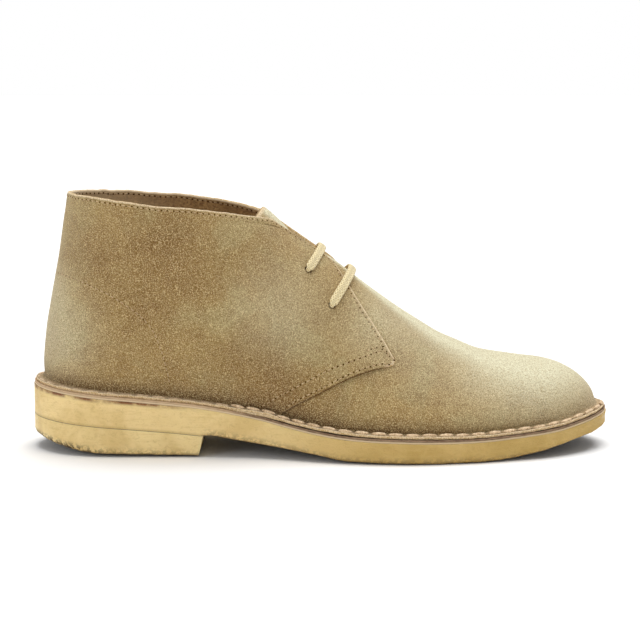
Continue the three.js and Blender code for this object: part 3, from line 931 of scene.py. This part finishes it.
# Rows on both sides of the boot, as x and z of places along them: the second row over the
# quarter's lower edge, the short tack above it at the front corner, and the counter's row.
SECOND_ROW = (
    (33.6, 50.4), (31.9, 53.7), (30.1, 54.0), (27.5, 53.4), (24.6, 52.5), (19.5, 51.0),
    (11.1, 48.2), (2.3, 44.7), (-2.9, 42.0), (-10.6, 37.8), (-18.3, 33.4), (-24.4, 29.8),
    (-30.4, 26.2),
)
CORNER_TACK = ((22.2, 54.1), (24.8, 54.9), (27.4, 55.5), (30.6, 55.9))
COUNTER_ROW = (
    (-135.6, 91.5), (-128, 90.6), (-120.8, 88.8), (-110, 84.8), (-100.3, 79.6), (-90, 71.6),
    (-83.6, 62.9), (-79.6, 50.9), (-77, 38.6),
)
# Each stitch and needle hole: half its length, half its width and half its height.
THREAD_SIZE = (0.95, 0.34, 0.38)
HOLE_SIZE = (0.52, 0.48, 0.28)
# The counter's rows are finer and lie nearly on the surface.
FAINT_THREAD = (0.95, 0.3, 0.3)
FAINT_HOLE = (0.42, 0.34, 0.24)
FAINT_SUNK = 0.02
BOOT_MIDDLE_Z = 40
ROPE_SIZE = (SOLE_STITCH_PITCH * 0.46, 1.0, 0.9)
PIT_SIZE = (0.55, 0.75, 0.3)
# Behind ROPE_SINKS_FROM the rope sinks into the flange.
ROPE_SINKS_FROM = -44
ROPE_SINKS_RUN = 14
ROPE_BURIED = 0.95


def side_line(row, side):
    """A smooth line over the quarter through places seen from the side."""
    places = [skin_at(x, z, side) for x, z in row]
    line = [point + normal * QUARTER_PROUD for point, normal in places]
    return [curve_point(line, k / 90) for k in range(91)]


def make_stitches(quarters, vamp, border):
    """The seam rows, the counter's rows and the rope on the flange, each with its holes as dark beads of
    painted shade.
    """
    random.seed(7)
    tree = surface_tree(quarters, vamp)
    threads, holes = bmesh.new(), bmesh.new()
    edge_row = inset_line(border, tree, EDGE_ROW_INSET)[2:-2]
    stitch_row(threads, holes, tree, edge_row, THREAD_SIZE, HOLE_SIZE, inner=QUARTER_THICK)
    for side in (-1, 1):
        for row in (SECOND_ROW, CORNER_TACK):
            stitch_row(threads, holes, tree, side_line(row, side), THREAD_SIZE, HOLE_SIZE)

    faint, pricks = bmesh.new(), bmesh.new()
    for side in (-1, 1):
        stitch_row(faint, pricks, tree, side_line(COUNTER_ROW, side), FAINT_THREAD, FAINT_HOLE,
                   sunk=FAINT_SUNK)

    rope, pits = bmesh.new(), bmesh.new()
    for side in (-1, 1):
        for k in range(int(FOOT_LENGTHS[side][-1] / SOLE_STITCH_PITCH)):
            lay_sole_stitch(rope, pits, side, (k + 0.5) * SOLE_STITCH_PITCH)

    return (piece("upper_stitches", threads),
            piece("needle_holes", holes),
            piece("counter_stitches", faint),
            piece("counter_holes", pricks),
            piece("sole_stitches", rope),
            piece("sole_stitch_holes", pits))


def share_at(length, side):
    """The share s at a distance along the feather line."""
    rows = FOOT_LENGTHS[side]
    low = 0
    while low < len(rows) - 2 and rows[low + 1] < length:
        low += 1
    return (low + (length - rows[low]) / (rows[low + 1] - rows[low])) / (len(rows) - 1)


def lay_sole_stitch(rope, pits, side, length):
    """One long stitch of thick thread bedded along the flange, and a dark bead of painted shade for the
    hole after it.
    """
    def on_flange(distance):
        return flange_point(share_at(length + distance, side), side, SOLE_STITCH_OUT, 0.05)

    start, here, end = (on_flange(ROPE_SIZE[0] * way) for way in (-1, 0, 1))
    along = (end - start).normalized()
    over = over_flange(here.x) * ease((QUARTER_FOOT_X - here.x) / 3)
    buried = ROPE_BURIED * ease((ROPE_SINKS_FROM - here.x) / ROPE_SINKS_RUN)
    lift = random.uniform(0.3, 0.6) + over - buried
    add_bead(rope, here + UP * lift, along, UP, ROPE_SIZE, 8, 8)
    if buried <= 0.2:
        gap = on_flange(SOLE_STITCH_PITCH / 2)
        add_bead(pits, gap + UP * (over - 0.05), along, UP, PIT_SIZE)


# ---------------------------------------------------------------------------
# Finishes
# ---------------------------------------------------------------------------
def tone(red, green, blue):
    """A colour named by its display values, 10 to 255, as the shader's linear colour."""
    return (*(((c / 255 + 0.055) / 1.055) ** 2.4 for c in (red, green, blue)), 1.0)


class Finish:
    """A procedural material put together node by node."""

    def __init__(self, name, **sockets):
        self.material = bpy.data.materials.new(name)
        self.material.use_nodes = True
        self.nodes = self.material.node_tree.nodes
        self.links = self.material.node_tree.links
        self.shader = self.nodes["Principled BSDF"]
        for socket, value in sockets.items():
            self.shader.inputs[socket.replace("_", " ")].default_value = value

    def node(self, kind, values=(), **settings):
        made = self.nodes.new(kind)
        for key, value in settings.items():
            setattr(made, key, value)
        for key, value in dict(values).items():
            self.feed(made.inputs[key], value)
        return made

    def feed(self, socket, value):
        if isinstance(value, bpy.types.NodeSocket):
            self.links.new(value, socket)
        else:
            socket.default_value = value

    def place(self):
        return self.node("ShaderNodeTexCoord").outputs["Object"]

    def axis(self, vector, name):
        return self.node("ShaderNodeSeparateXYZ", {"Vector": vector}).outputs[name]

    def value(self, name):
        return self.node("ShaderNodeAttribute", attribute_name=name).outputs["Fac"]

    def stretch(self, vector, scale, move=(0, 0, 0)):
        return self.node("ShaderNodeMapping", {
            "Vector": vector, "Scale": scale, "Location": move}).outputs["Vector"]

    def noise(self, vector, scale, detail=2.0, rough=0.5, warp=0.0):
        return self.node("ShaderNodeTexNoise", {
            "Vector": vector, "Scale": scale, "Detail": detail, "Roughness": rough,
            "Distortion": warp}).outputs["Fac"]

    def cells(self, vector, scale):
        return self.node("ShaderNodeTexVoronoi", {
            "Vector": vector, "Scale": scale}).outputs["Distance"]

    def math(self, operation, a, b=0.0, clamp=False):
        return self.node("ShaderNodeMath", {0: a, 1: b}, operation=operation, use_clamp=clamp).outputs[0]

    def span(self, value, low, high, start=0.0, end=1.0):
        """value from low to high as start to end, with soft ends."""
        return self.node("ShaderNodeMapRange", {
            "Value": value, "From Min": low, "From Max": high, "To Min": start, "To Max": end},
            interpolation_type="SMOOTHSTEP").outputs["Result"]

    def times(self, a, b, clamp=False):
        return self.math("MULTIPLY", a, b, clamp)

    def blend(self, factor, a, b, kind="MIX"):
        """Colour a going to colour b. The node's sockets 6, 7 and 2 are the ones for colours."""
        made = self.node("ShaderNodeMix", data_type="RGBA", blend_type=kind)
        self.feed(made.inputs[0], factor)
        self.feed(made.inputs[6], a)
        self.feed(made.inputs[7], b)
        return made.outputs[2]

    def bump(self, height, depth, normal=None):
        """Relief of a height from 0 to 1, depth in millimetres, laid over another relief."""
        made = self.node("ShaderNodeBump", {"Height": height, "Distance": depth * MM, "Strength": 1.0})
        if normal:
            self.links.new(normal, made.inputs["Normal"])
        return made.outputs["Normal"]

    def done(self, colour, normal=None, roughness=None):
        self.feed(self.shader.inputs["Base Color"], colour)
        if normal:
            self.feed(self.shader.inputs["Normal"], normal)
        if roughness:
            self.feed(self.shader.inputs["Roughness"], roughness)
        return self.material


SAND = tone(165, 137, 84)
SAND_PALE = tone(236, 232, 200)
NAP_LIT = tone(205, 181, 133)
NAP_SHADE = tone(184, 166, 140)
NAP_SHEEN = tone(250, 240, 214)
SAND_GOLD = tone(184, 152, 96)
SAND_BROWN = tone(134, 100, 54)
SAND_OLIVE = tone(182, 168, 120)
SAND_SHADE = tone(112, 84, 48)
RAW_EDGE = tone(240, 216, 178)
THREAD = tone(224, 196, 152)
NEEDLE_HOLE_SHADE = tone(56, 34, 10)
EDGE_SHADOW = tone(92, 62, 22)
FLESH_CREAM = tone(222, 196, 156)
FLANGE_PINK = tone(198, 168, 132)
LINING_BROWN = tone(204, 166, 110)
LINING_DARK = tone(136, 100, 58)
CREPE_AMBER = tone(188, 156, 86)
CREPE_PALE = tone(242, 216, 154)
CREPE_WAX = tone(238, 210, 148)
CREPE_GOLD = tone(212, 180, 114)
CREPE_DEEP = tone(150, 110, 48)
CREPE_DIRT = tone(66, 46, 26)
CREPE_RED = tone(118, 68, 30)
TREAD_SHADOW_AND_DIRT = tone(58, 52, 44)
BOARD_GREY = tone(158, 132, 104)
BOARD_DARK = tone(106, 80, 58)
BOARD_LIGHT = tone(226, 202, 164)
LACE_CREAM = tone(248, 230, 178)
LACE_SHADE = tone(198, 168, 110)
LACE_FUZZ = tone(246, 232, 200)
ROPE_TAN = tone(238, 210, 172)
ROPE_SHADE = tone(178, 146, 106)
FLOOR_WHITE = tone(250, 250, 250)

# Browner places where the nap is rubbed; the two low at the waist, by the quarter's lower edge, are
# painted shade. Each: x and z, how wide, how strong.
RUBBED_AND_SHADED = (
    (-122, 104, 17, 0.85), (-84, 92, 26, 0.6), (-74, 116, 24, 0.6), (-30, 104, 16, 0.3),
    (-96, 60, 22, 0.3), (-34, 28, 30, 1.0), (-8, 26, 20, 0.5),
)
# Paler places, partly where the nap stands and partly painted highlight and sheen: over the heel, by the
# facing, on the vamp and at the toe.
BRUSHED_AND_LIT = (
    (-140, 62, 26, 0.38), (-143, 88, 14, 0.25), (-20, 76, 24, 0.26), (24, 66, 18, 0.2),
    (112, 60, 34, 0.22), (60, 74, 34, 0.3),
)


def spots(finish, place, rows):
    """Soft round places on both sides of the boot, added together."""
    total = 0.0
    for x, z, wide, strong in rows:
        flat = finish.stretch(place, (1, 0, 1), (-x * MM, 0, -z * MM))
        far = finish.node("ShaderNodeVectorMath", {0: flat}, operation="LENGTH").outputs["Value"]
        total = finish.math("ADD", finish.span(far, 0, wide * 1.6 * MM, strong, 0.0), total)
    return total


def suede_finish():
    """Napped suede: mottled browns; paler at the toe and over the top, partly brushed nap and partly
    painted highlight; painted shade low down and along the quarter's lower edge; a raw pale edge.
    """
    finish = Finish("sand_suede", Roughness=0.92, Sheen_Weight=0.4, Sheen_Roughness=0.5,
                    Sheen_Tint=NAP_SHEEN, Specular_IOR_Level=0.25)
    place = finish.place()
    warp = finish.noise(place, 22, 3, 0.55)
    patch = finish.noise(place, 60, 4, 0.6, 0.6)
    nap = finish.noise(place, 1500, 2, 0.7, 0.4)
    speck = finish.noise(place, 2100, 1, 0.5)
    mist = finish.noise(place, 34, 3, 0.55, 0.4)
    rise, edge, under = finish.value("rise"), finish.value("edge"), finish.value("under")
    along = finish.axis(place, "X")

    # Mottling, then the rubbed places, with painted shade at the waist, and the brushed places, with
    # painted highlight.
    colour = finish.blend(finish.span(warp, 0.35, 0.68), SAND, finish.blend(0.5, SAND, SAND_GOLD))
    colour = finish.blend(finish.span(mist, 0.48, 0.66, 0.0, 0.5), colour, SAND_OLIVE)
    colour = finish.blend(finish.span(patch, 0.42, 0.7, 0.0, 0.5), colour, SAND_BROWN)
    rubbed_and_shaded = finish.times(spots(finish, place, RUBBED_AND_SHADED), finish.span(patch, 0.2, 0.7, 0.6, 1.0))
    colour = finish.blend(finish.times(rubbed_and_shaded, 1.0, True), colour, SAND_BROWN)
    # Paler toward the toe and over the vamp's crown, more the higher it lies: partly brushed nap, partly
    # painted highlight from the light above.
    toward_toe = finish.span(along, 0.0, 0.12, 0.0, 0.12)
    crown = finish.span(finish.value("crown"), 0.3, 0.75, 0.0, 0.95)
    pale = finish.times(finish.math("MAXIMUM", toward_toe, crown), finish.span(rise, 4, 30, 0.3, 1.0))
    brushed_and_highlight = finish.math("ADD", spots(finish, place, BRUSHED_AND_LIT), pale, True)
    colour = finish.blend(brushed_and_highlight, colour, SAND_PALE)

    # Painted shade down to the fold, less toward the toe; pinker over the flange, and raw at the flange's
    # edge.
    low = finish.times(finish.span(rise, 0.5, 12, 0.85, 0.0), finish.span(along, 0.02, 0.10, 1.0, 0.3))
    colour = finish.blend(low, colour, SAND_SHADE)
    colour = finish.blend(finish.span(rise, -0.4, -1.6, 0.0, 0.75), colour, FLANGE_PINK)
    colour = finish.blend(finish.span(rise, -4.2, -5.0, 0.0, 0.9), colour, RAW_EDGE)

    # Pale along the cut edges, but painted shadow along the quarter's lower edge.
    rim = finish.times(finish.span(edge, 0.5, 1.4, 0.9, 0.0), finish.span(under, 0.2, 0.6, 1.0, 0.0))
    colour = finish.blend(rim, colour, RAW_EDGE)
    lower_edge_shadow = finish.times(finish.span(edge, 0.4, 0.9, 0.7, 0.0), under)
    colour = finish.blend(lower_edge_shadow, colour, EDGE_SHADOW)

    # The nap's shaded and lit fibres.
    colour = finish.blend(finish.span(nap, 0.42, 0.62, 0.0, 0.72), colour, NAP_SHADE, "MULTIPLY")
    colour = finish.blend(finish.span(speck, 0.50, 0.66, 0.0, 0.78), colour, NAP_LIT, "SCREEN")
    height = finish.math("ADD", nap, finish.times(speck, 0.5))
    normal = finish.bump(finish.noise(place, 150, 4, 0.6), 0.5)
    normal = finish.bump(height, 0.6, normal)
    return finish.done(colour, normal)


def raw_edge_finish():
    finish = Finish("suede_raw_edge", Roughness=0.95, Specular_IOR_Level=0.1)
    place = finish.place()
    fibre = finish.noise(finish.stretch(place, (1, 1, 0.4)), 1500, 3, 0.7)
    colour = finish.blend(finish.span(fibre, 0.3, 0.7), SAND_GOLD, RAW_EDGE)
    # Painted shadow on the cut edge along the quarter's lower edge.
    colour = finish.blend(finish.value("under"), colour, EDGE_SHADOW)
    return finish.done(colour, finish.bump(fibre, 0.4))


def lining_finish():
    finish = Finish("suede_flesh_side", Roughness=0.95, Sheen_Weight=0.2)
    place = finish.place()
    fibre = finish.noise(place, 700, 4, 0.7, 0.5)
    patch = finish.noise(place, 45, 3, 0.6)
    colour = finish.blend(finish.span(fibre, 0.3, 0.7), LINING_DARK, LINING_BROWN)
    colour = finish.blend(finish.span(patch, 0.4, 0.7, 0.0, 0.5), colour, SAND_BROWN)
    # Painted light: paler toward the back of the lining.
    painted_light_to_back = finish.span(finish.axis(place, "X"), -0.06, -0.14, 0.0, 0.6)
    colour = finish.blend(painted_light_to_back, colour, RAW_EDGE)
    colour = finish.blend(finish.span(finish.value("edge"), 0.6, 1.3, 0.9, 0.0), colour, RAW_EDGE)
    return finish.done(colour, finish.bump(fibre, 0.6))


def flesh_finish():
    """The vamp and tongue's pale inner face."""
    finish = Finish("vamp_flesh_side", Roughness=0.9, Sheen_Weight=0.3)
    place = finish.place()
    fibre = finish.noise(place, 900, 4, 0.7, 0.5)
    colour = finish.blend(finish.span(fibre, 0.3, 0.7), SAND_GOLD, FLESH_CREAM)
    return finish.done(colour, finish.bump(fibre, 0.5))


def crepe_finish():
    """Waxy crepe: pale at the heel, amber to the toe, with a glue line that is partly painted shadow,
    dirt, painted shade low on each layer, and a worn tread darkened with painted shadow and dirt.
    """
    finish = Finish("crepe_rubber", Roughness=0.5, Subsurface_Weight=0.12, Subsurface_Scale=0.004,
                    Specular_IOR_Level=0.35)
    finish.shader.inputs["Subsurface Radius"].default_value = (1.0, 0.7, 0.25)
    place = finish.place()
    level = finish.value("level")
    cloud = finish.noise(place, 40, 4, 0.6, 0.5)
    grain = finish.noise(finish.stretch(place, (1, 1, 1.6)), 330, 4, 0.65, 1.2)
    fine = finish.noise(place, 1400, 2, 0.6)
    along = finish.axis(place, "X")
    toward_toe = finish.span(along, -0.05, 0.04)
    streak = finish.noise(finish.stretch(place, (1, 1, 9)), 60, 4, 0.65, 0.4)
    body = finish.blend(finish.value("sheet"), CREPE_PALE, CREPE_WAX)
    body = finish.blend(toward_toe, body, CREPE_AMBER)
    colour = finish.blend(finish.span(cloud, 0.4, 0.7, 0.0, 0.7), body, CREPE_GOLD)
    colour = finish.blend(finish.span(streak, 0.5, 0.7, 0.0, 0.35), colour, CREPE_GOLD)
    colour = finish.blend(finish.span(grain, 0.5, 0.75, 0.0, 0.22), colour, CREPE_DEEP)
    # Painted shade toward the bottom of each layer.
    low = finish.span(level, 0.0, 0.14, 0.4, 0.0)
    colour = finish.blend(low, colour, CREPE_DEEP)
    # A dark red line along the top of the sheet at the heel: glue and painted shadow under the board.
    heel = finish.span(along, -0.055, -0.09)
    glue_and_shadow = finish.times(finish.span(finish.noise(place, 130, 4, 0.7), 0.25, 0.6), heel)
    glue_and_shadow = finish.times(finish.span(level, 0.84, 0.98), glue_and_shadow)
    colour = finish.blend(finish.times(glue_and_shadow, finish.value("sheet")), colour, CREPE_RED)
    speck = finish.span(finish.noise(place, 420, 3, 0.7), 0.42, 0.54)
    at_heel, at_toe = finish.span(along, -0.09, -0.13), finish.span(along, 0.11, 0.14, 0.0, 0.6)
    dirty = finish.math("MAXIMUM", finish.math("MAXIMUM", at_heel, at_toe), 0.4)
    dirty = finish.times(dirty, speck)
    dirty = finish.times(dirty, finish.span(level, 0.05, 0.42, 1.0, 0.0))
    colour = finish.blend(finish.times(dirty, finish.value("worn")), colour, CREPE_DIRT)
    # Dark tread faces and lowest edge: painted shadow under the arch, and dirt.
    colour = finish.blend(finish.span(level, 0.0, 0.03, 0.85, 0.0), colour, TREAD_SHADOW_AND_DIRT)
    normal = finish.bump(grain, 0.32)
    normal = finish.bump(fine, 0.12, normal)
    return finish.done(colour, normal, finish.span(grain, 0.3, 0.7, 0.42, 0.66))


def board_finish():
    finish = Finish("midsole_board", Roughness=0.8)
    place = finish.place()
    level = finish.value("level")
    fibre = finish.noise(finish.stretch(place, (1, 1, 4)), 260, 4, 0.7)
    colour = finish.blend(finish.span(fibre, 0.3, 0.7), BOARD_DARK, BOARD_GREY)
    heel = finish.span(finish.axis(place, "X"), -0.052, -0.034, 1.0, 0.0)
    worn = finish.times(heel, finish.span(fibre, 0.25, 0.6, 0.6, 1.0))
    colour = finish.blend(worn, colour, FLANGE_PINK)
    colour = finish.blend(finish.span(level, 0.5, 0.3), colour, BOARD_LIGHT)
    return finish.done(colour, finish.bump(fibre, 0.5))


def footbed_finish():
    finish = Finish("footbed_leather", Roughness=0.75)
    place = finish.place()
    pore = finish.cells(place, 900)
    colour = finish.blend(finish.span(finish.noise(place, 60, 4, 0.6), 0.3, 0.7), LINING_BROWN, SAND_BROWN)
    return finish.done(colour, finish.bump(pore, 0.15))


def thread_finish(name, light, dark, scale):
    finish = Finish(name, Roughness=0.7, Sheen_Weight=0.2)
    place = finish.place()
    ply = finish.noise(place, scale, 3, 0.6, 0.8)
    colour = finish.blend(finish.span(ply, 0.3, 0.68), dark, light)
    return finish.done(colour, finish.bump(ply, 0.25))


# Needle holes: dark beads that are painted shade where the holes are.
def hole_shade_finish():
    finish = Finish("needle_hole_shade", Roughness=1.0, Specular_IOR_Level=0.0)
    fibre = finish.noise(finish.place(), 1500, 2, 0.6)
    return finish.done(finish.blend(fibre, NEEDLE_HOLE_SHADE, EDGE_SHADOW))


# Strands around the lace, and turns of the braid in each centimetre of it.
BRAID_AROUND = 9
BRAID_PER_CM = 4.2


def lace_finish():
    """A flat braid: two sets of strands that lie across each other, on the lace's own UV."""
    finish = Finish("lace_braid", Roughness=0.85, Sheen_Weight=0.3)
    uv = finish.node("ShaderNodeUVMap", uv_map="braid").outputs["UV"]
    around, along = finish.axis(uv, "X"), finish.axis(uv, "Y")

    def strand(way):
        turn = finish.times(around, 2 * math.pi * BRAID_AROUND * way)
        run = finish.times(along, 2 * math.pi * BRAID_PER_CM)
        return finish.math("SINE", finish.math("ADD", turn, run))

    weave = finish.math("MAXIMUM", strand(1), strand(-1))
    fuzz = finish.noise(finish.place(), 2600, 2, 0.6)
    height = finish.math("ADD", finish.times(weave, 0.5), fuzz)
    colour = finish.blend(finish.span(weave, -0.7, 0.6), LACE_SHADE, LACE_CREAM)
    colour = finish.blend(finish.span(fuzz, 0.5, 0.7, 0.0, 0.35), colour, LACE_FUZZ)
    return finish.done(colour, finish.bump(height, 0.35))


def floor_finish():
    finish = Finish("studio_floor", Roughness=0.9, Specular_IOR_Level=0.1)
    return finish.done(FLOOR_WHITE)


# ---------------------------------------------------------------------------
# Camera, studio and assembly
# ---------------------------------------------------------------------------
CAMERA_AIM = Vector((-0.0004, LAST_AXIS_Y * MM, 0.0652))
CAMERA_FAR = 0.880
CAMERA_DOWN = 8.0
CAMERA_YAW = -0.512
CAMERA_LENS = 94.4
CAMERA_REACH = 60
ROOM_LIGHT = 0.45
OVERHEAD_POWER = 2.9
OVERHEAD_SPREAD = 0.9
OVERHEAD_DOWN = Vector((-0.12, -0.22, -1.0))
LEFT_PLACE = Vector((-1.1, -1.0, 0.55))
LEFT_AIM = Vector((-0.05, 0, 0.05))
LEFT_SIZE = 0.6
LEFT_POWER = 3.0
FLOOR_HALF = 25


def place_camera():
    down, yaw = math.radians(CAMERA_DOWN), math.radians(CAMERA_YAW)
    forward = Vector((-math.sin(yaw) * math.cos(down), math.cos(yaw) * math.cos(down), -math.sin(down)))
    data = bpy.data.cameras.new("camera")
    data.lens = CAMERA_LENS
    data.clip_end = CAMERA_REACH
    camera = bpy.data.objects.new("camera", data)
    camera.location = CAMERA_AIM - forward * CAMERA_FAR
    camera.rotation_euler = forward.to_track_quat("-Z", "Y").to_euler()
    bpy.context.scene.collection.objects.link(camera)
    bpy.context.scene.camera = camera


def hang_lamp(data, direction, place=(0, 0, 0)):
    lamp = bpy.data.objects.new(data.name, data)
    lamp.location = place
    lamp.rotation_euler = direction.to_track_quat("-Z", "Y").to_euler()
    bpy.context.scene.collection.objects.link(lamp)


def make_lamps():
    overhead = bpy.data.lights.new("overhead", "SUN")
    overhead.energy, overhead.angle = OVERHEAD_POWER, OVERHEAD_SPREAD
    hang_lamp(overhead, OVERHEAD_DOWN)
    left = bpy.data.lights.new("left", "AREA")
    left.size, left.energy = LEFT_SIZE, LEFT_POWER
    hang_lamp(left, LEFT_AIM - LEFT_PLACE, LEFT_PLACE)


def make_room():
    """A white floor, and a world that is white to the camera and dimmer as light."""
    bm = bmesh.new()
    bmesh.ops.create_grid(bm, x_segments=2, y_segments=2, size=FLOOR_HALF)
    mesh = bpy.data.meshes.new("studio_floor")
    bm.to_mesh(mesh)
    bm.free()
    floor = bpy.data.objects.new("studio_floor", mesh)
    mesh.materials.append(floor_finish())
    bpy.context.scene.collection.objects.link(floor)
    world = bpy.data.worlds.new("studio")
    world.use_nodes = True
    nodes, links = world.node_tree.nodes, world.node_tree.links
    seen, room = nodes["Background"], nodes.new("ShaderNodeBackground")
    seen.inputs["Strength"].default_value = 1.0
    room.inputs["Strength"].default_value = ROOM_LIGHT
    for back in (seen, room):
        back.inputs["Color"].default_value = (1, 1, 1, 1)
    path, join = nodes.new("ShaderNodeLightPath"), nodes.new("ShaderNodeMixShader")
    links.new(path.outputs["Is Camera Ray"], join.inputs[0])
    links.new(room.outputs[0], join.inputs[1])
    links.new(seen.outputs[0], join.inputs[2])
    links.new(join.outputs[0], nodes["World Output"].inputs["Surface"])
    bpy.context.scene.world = world
    bpy.context.scene.view_settings.view_transform = "Standard"


def dress(obj, *materials):
    obj.data.materials.clear()
    for material in materials:
        obj.data.materials.append(material)


def build_boot():
    suede = suede_finish()
    raw, lining = raw_edge_finish(), lining_finish()
    lace = make_lace()
    dress(lace, lace_finish())

    quarters, border = make_quarters()
    dress(quarters, suede, lining, raw)
    vamp = make_vamp()
    dress(vamp, suede, flesh_finish(), raw)
    stitches = make_stitches(quarters, vamp, border)
    thicken(quarters, QUARTER_THICK)
    punch(quarters, [skin_at(row["x"], row["z"], side) for row in EYELETS for side in (-1, 1)])
    thicken(vamp, VAMP_THICK)

    seam, hole = thread_finish("seam_thread", THREAD, SAND_BROWN, 1800), hole_shade_finish()
    rope = thread_finish("sole_thread", ROPE_TAN, ROPE_SHADE, 700)
    for obj, material in zip(stitches, (seam, hole, seam, hole, rope, hole)):
        dress(obj, material)

    outsole, heel, midsole, insole = make_sole()
    crepe = crepe_finish()
    dress(outsole, crepe)
    dress(heel, crepe)
    dress(midsole, board_finish())
    dress(insole, footbed_finish())


place_camera()
make_room()
make_lamps()
build_boot()
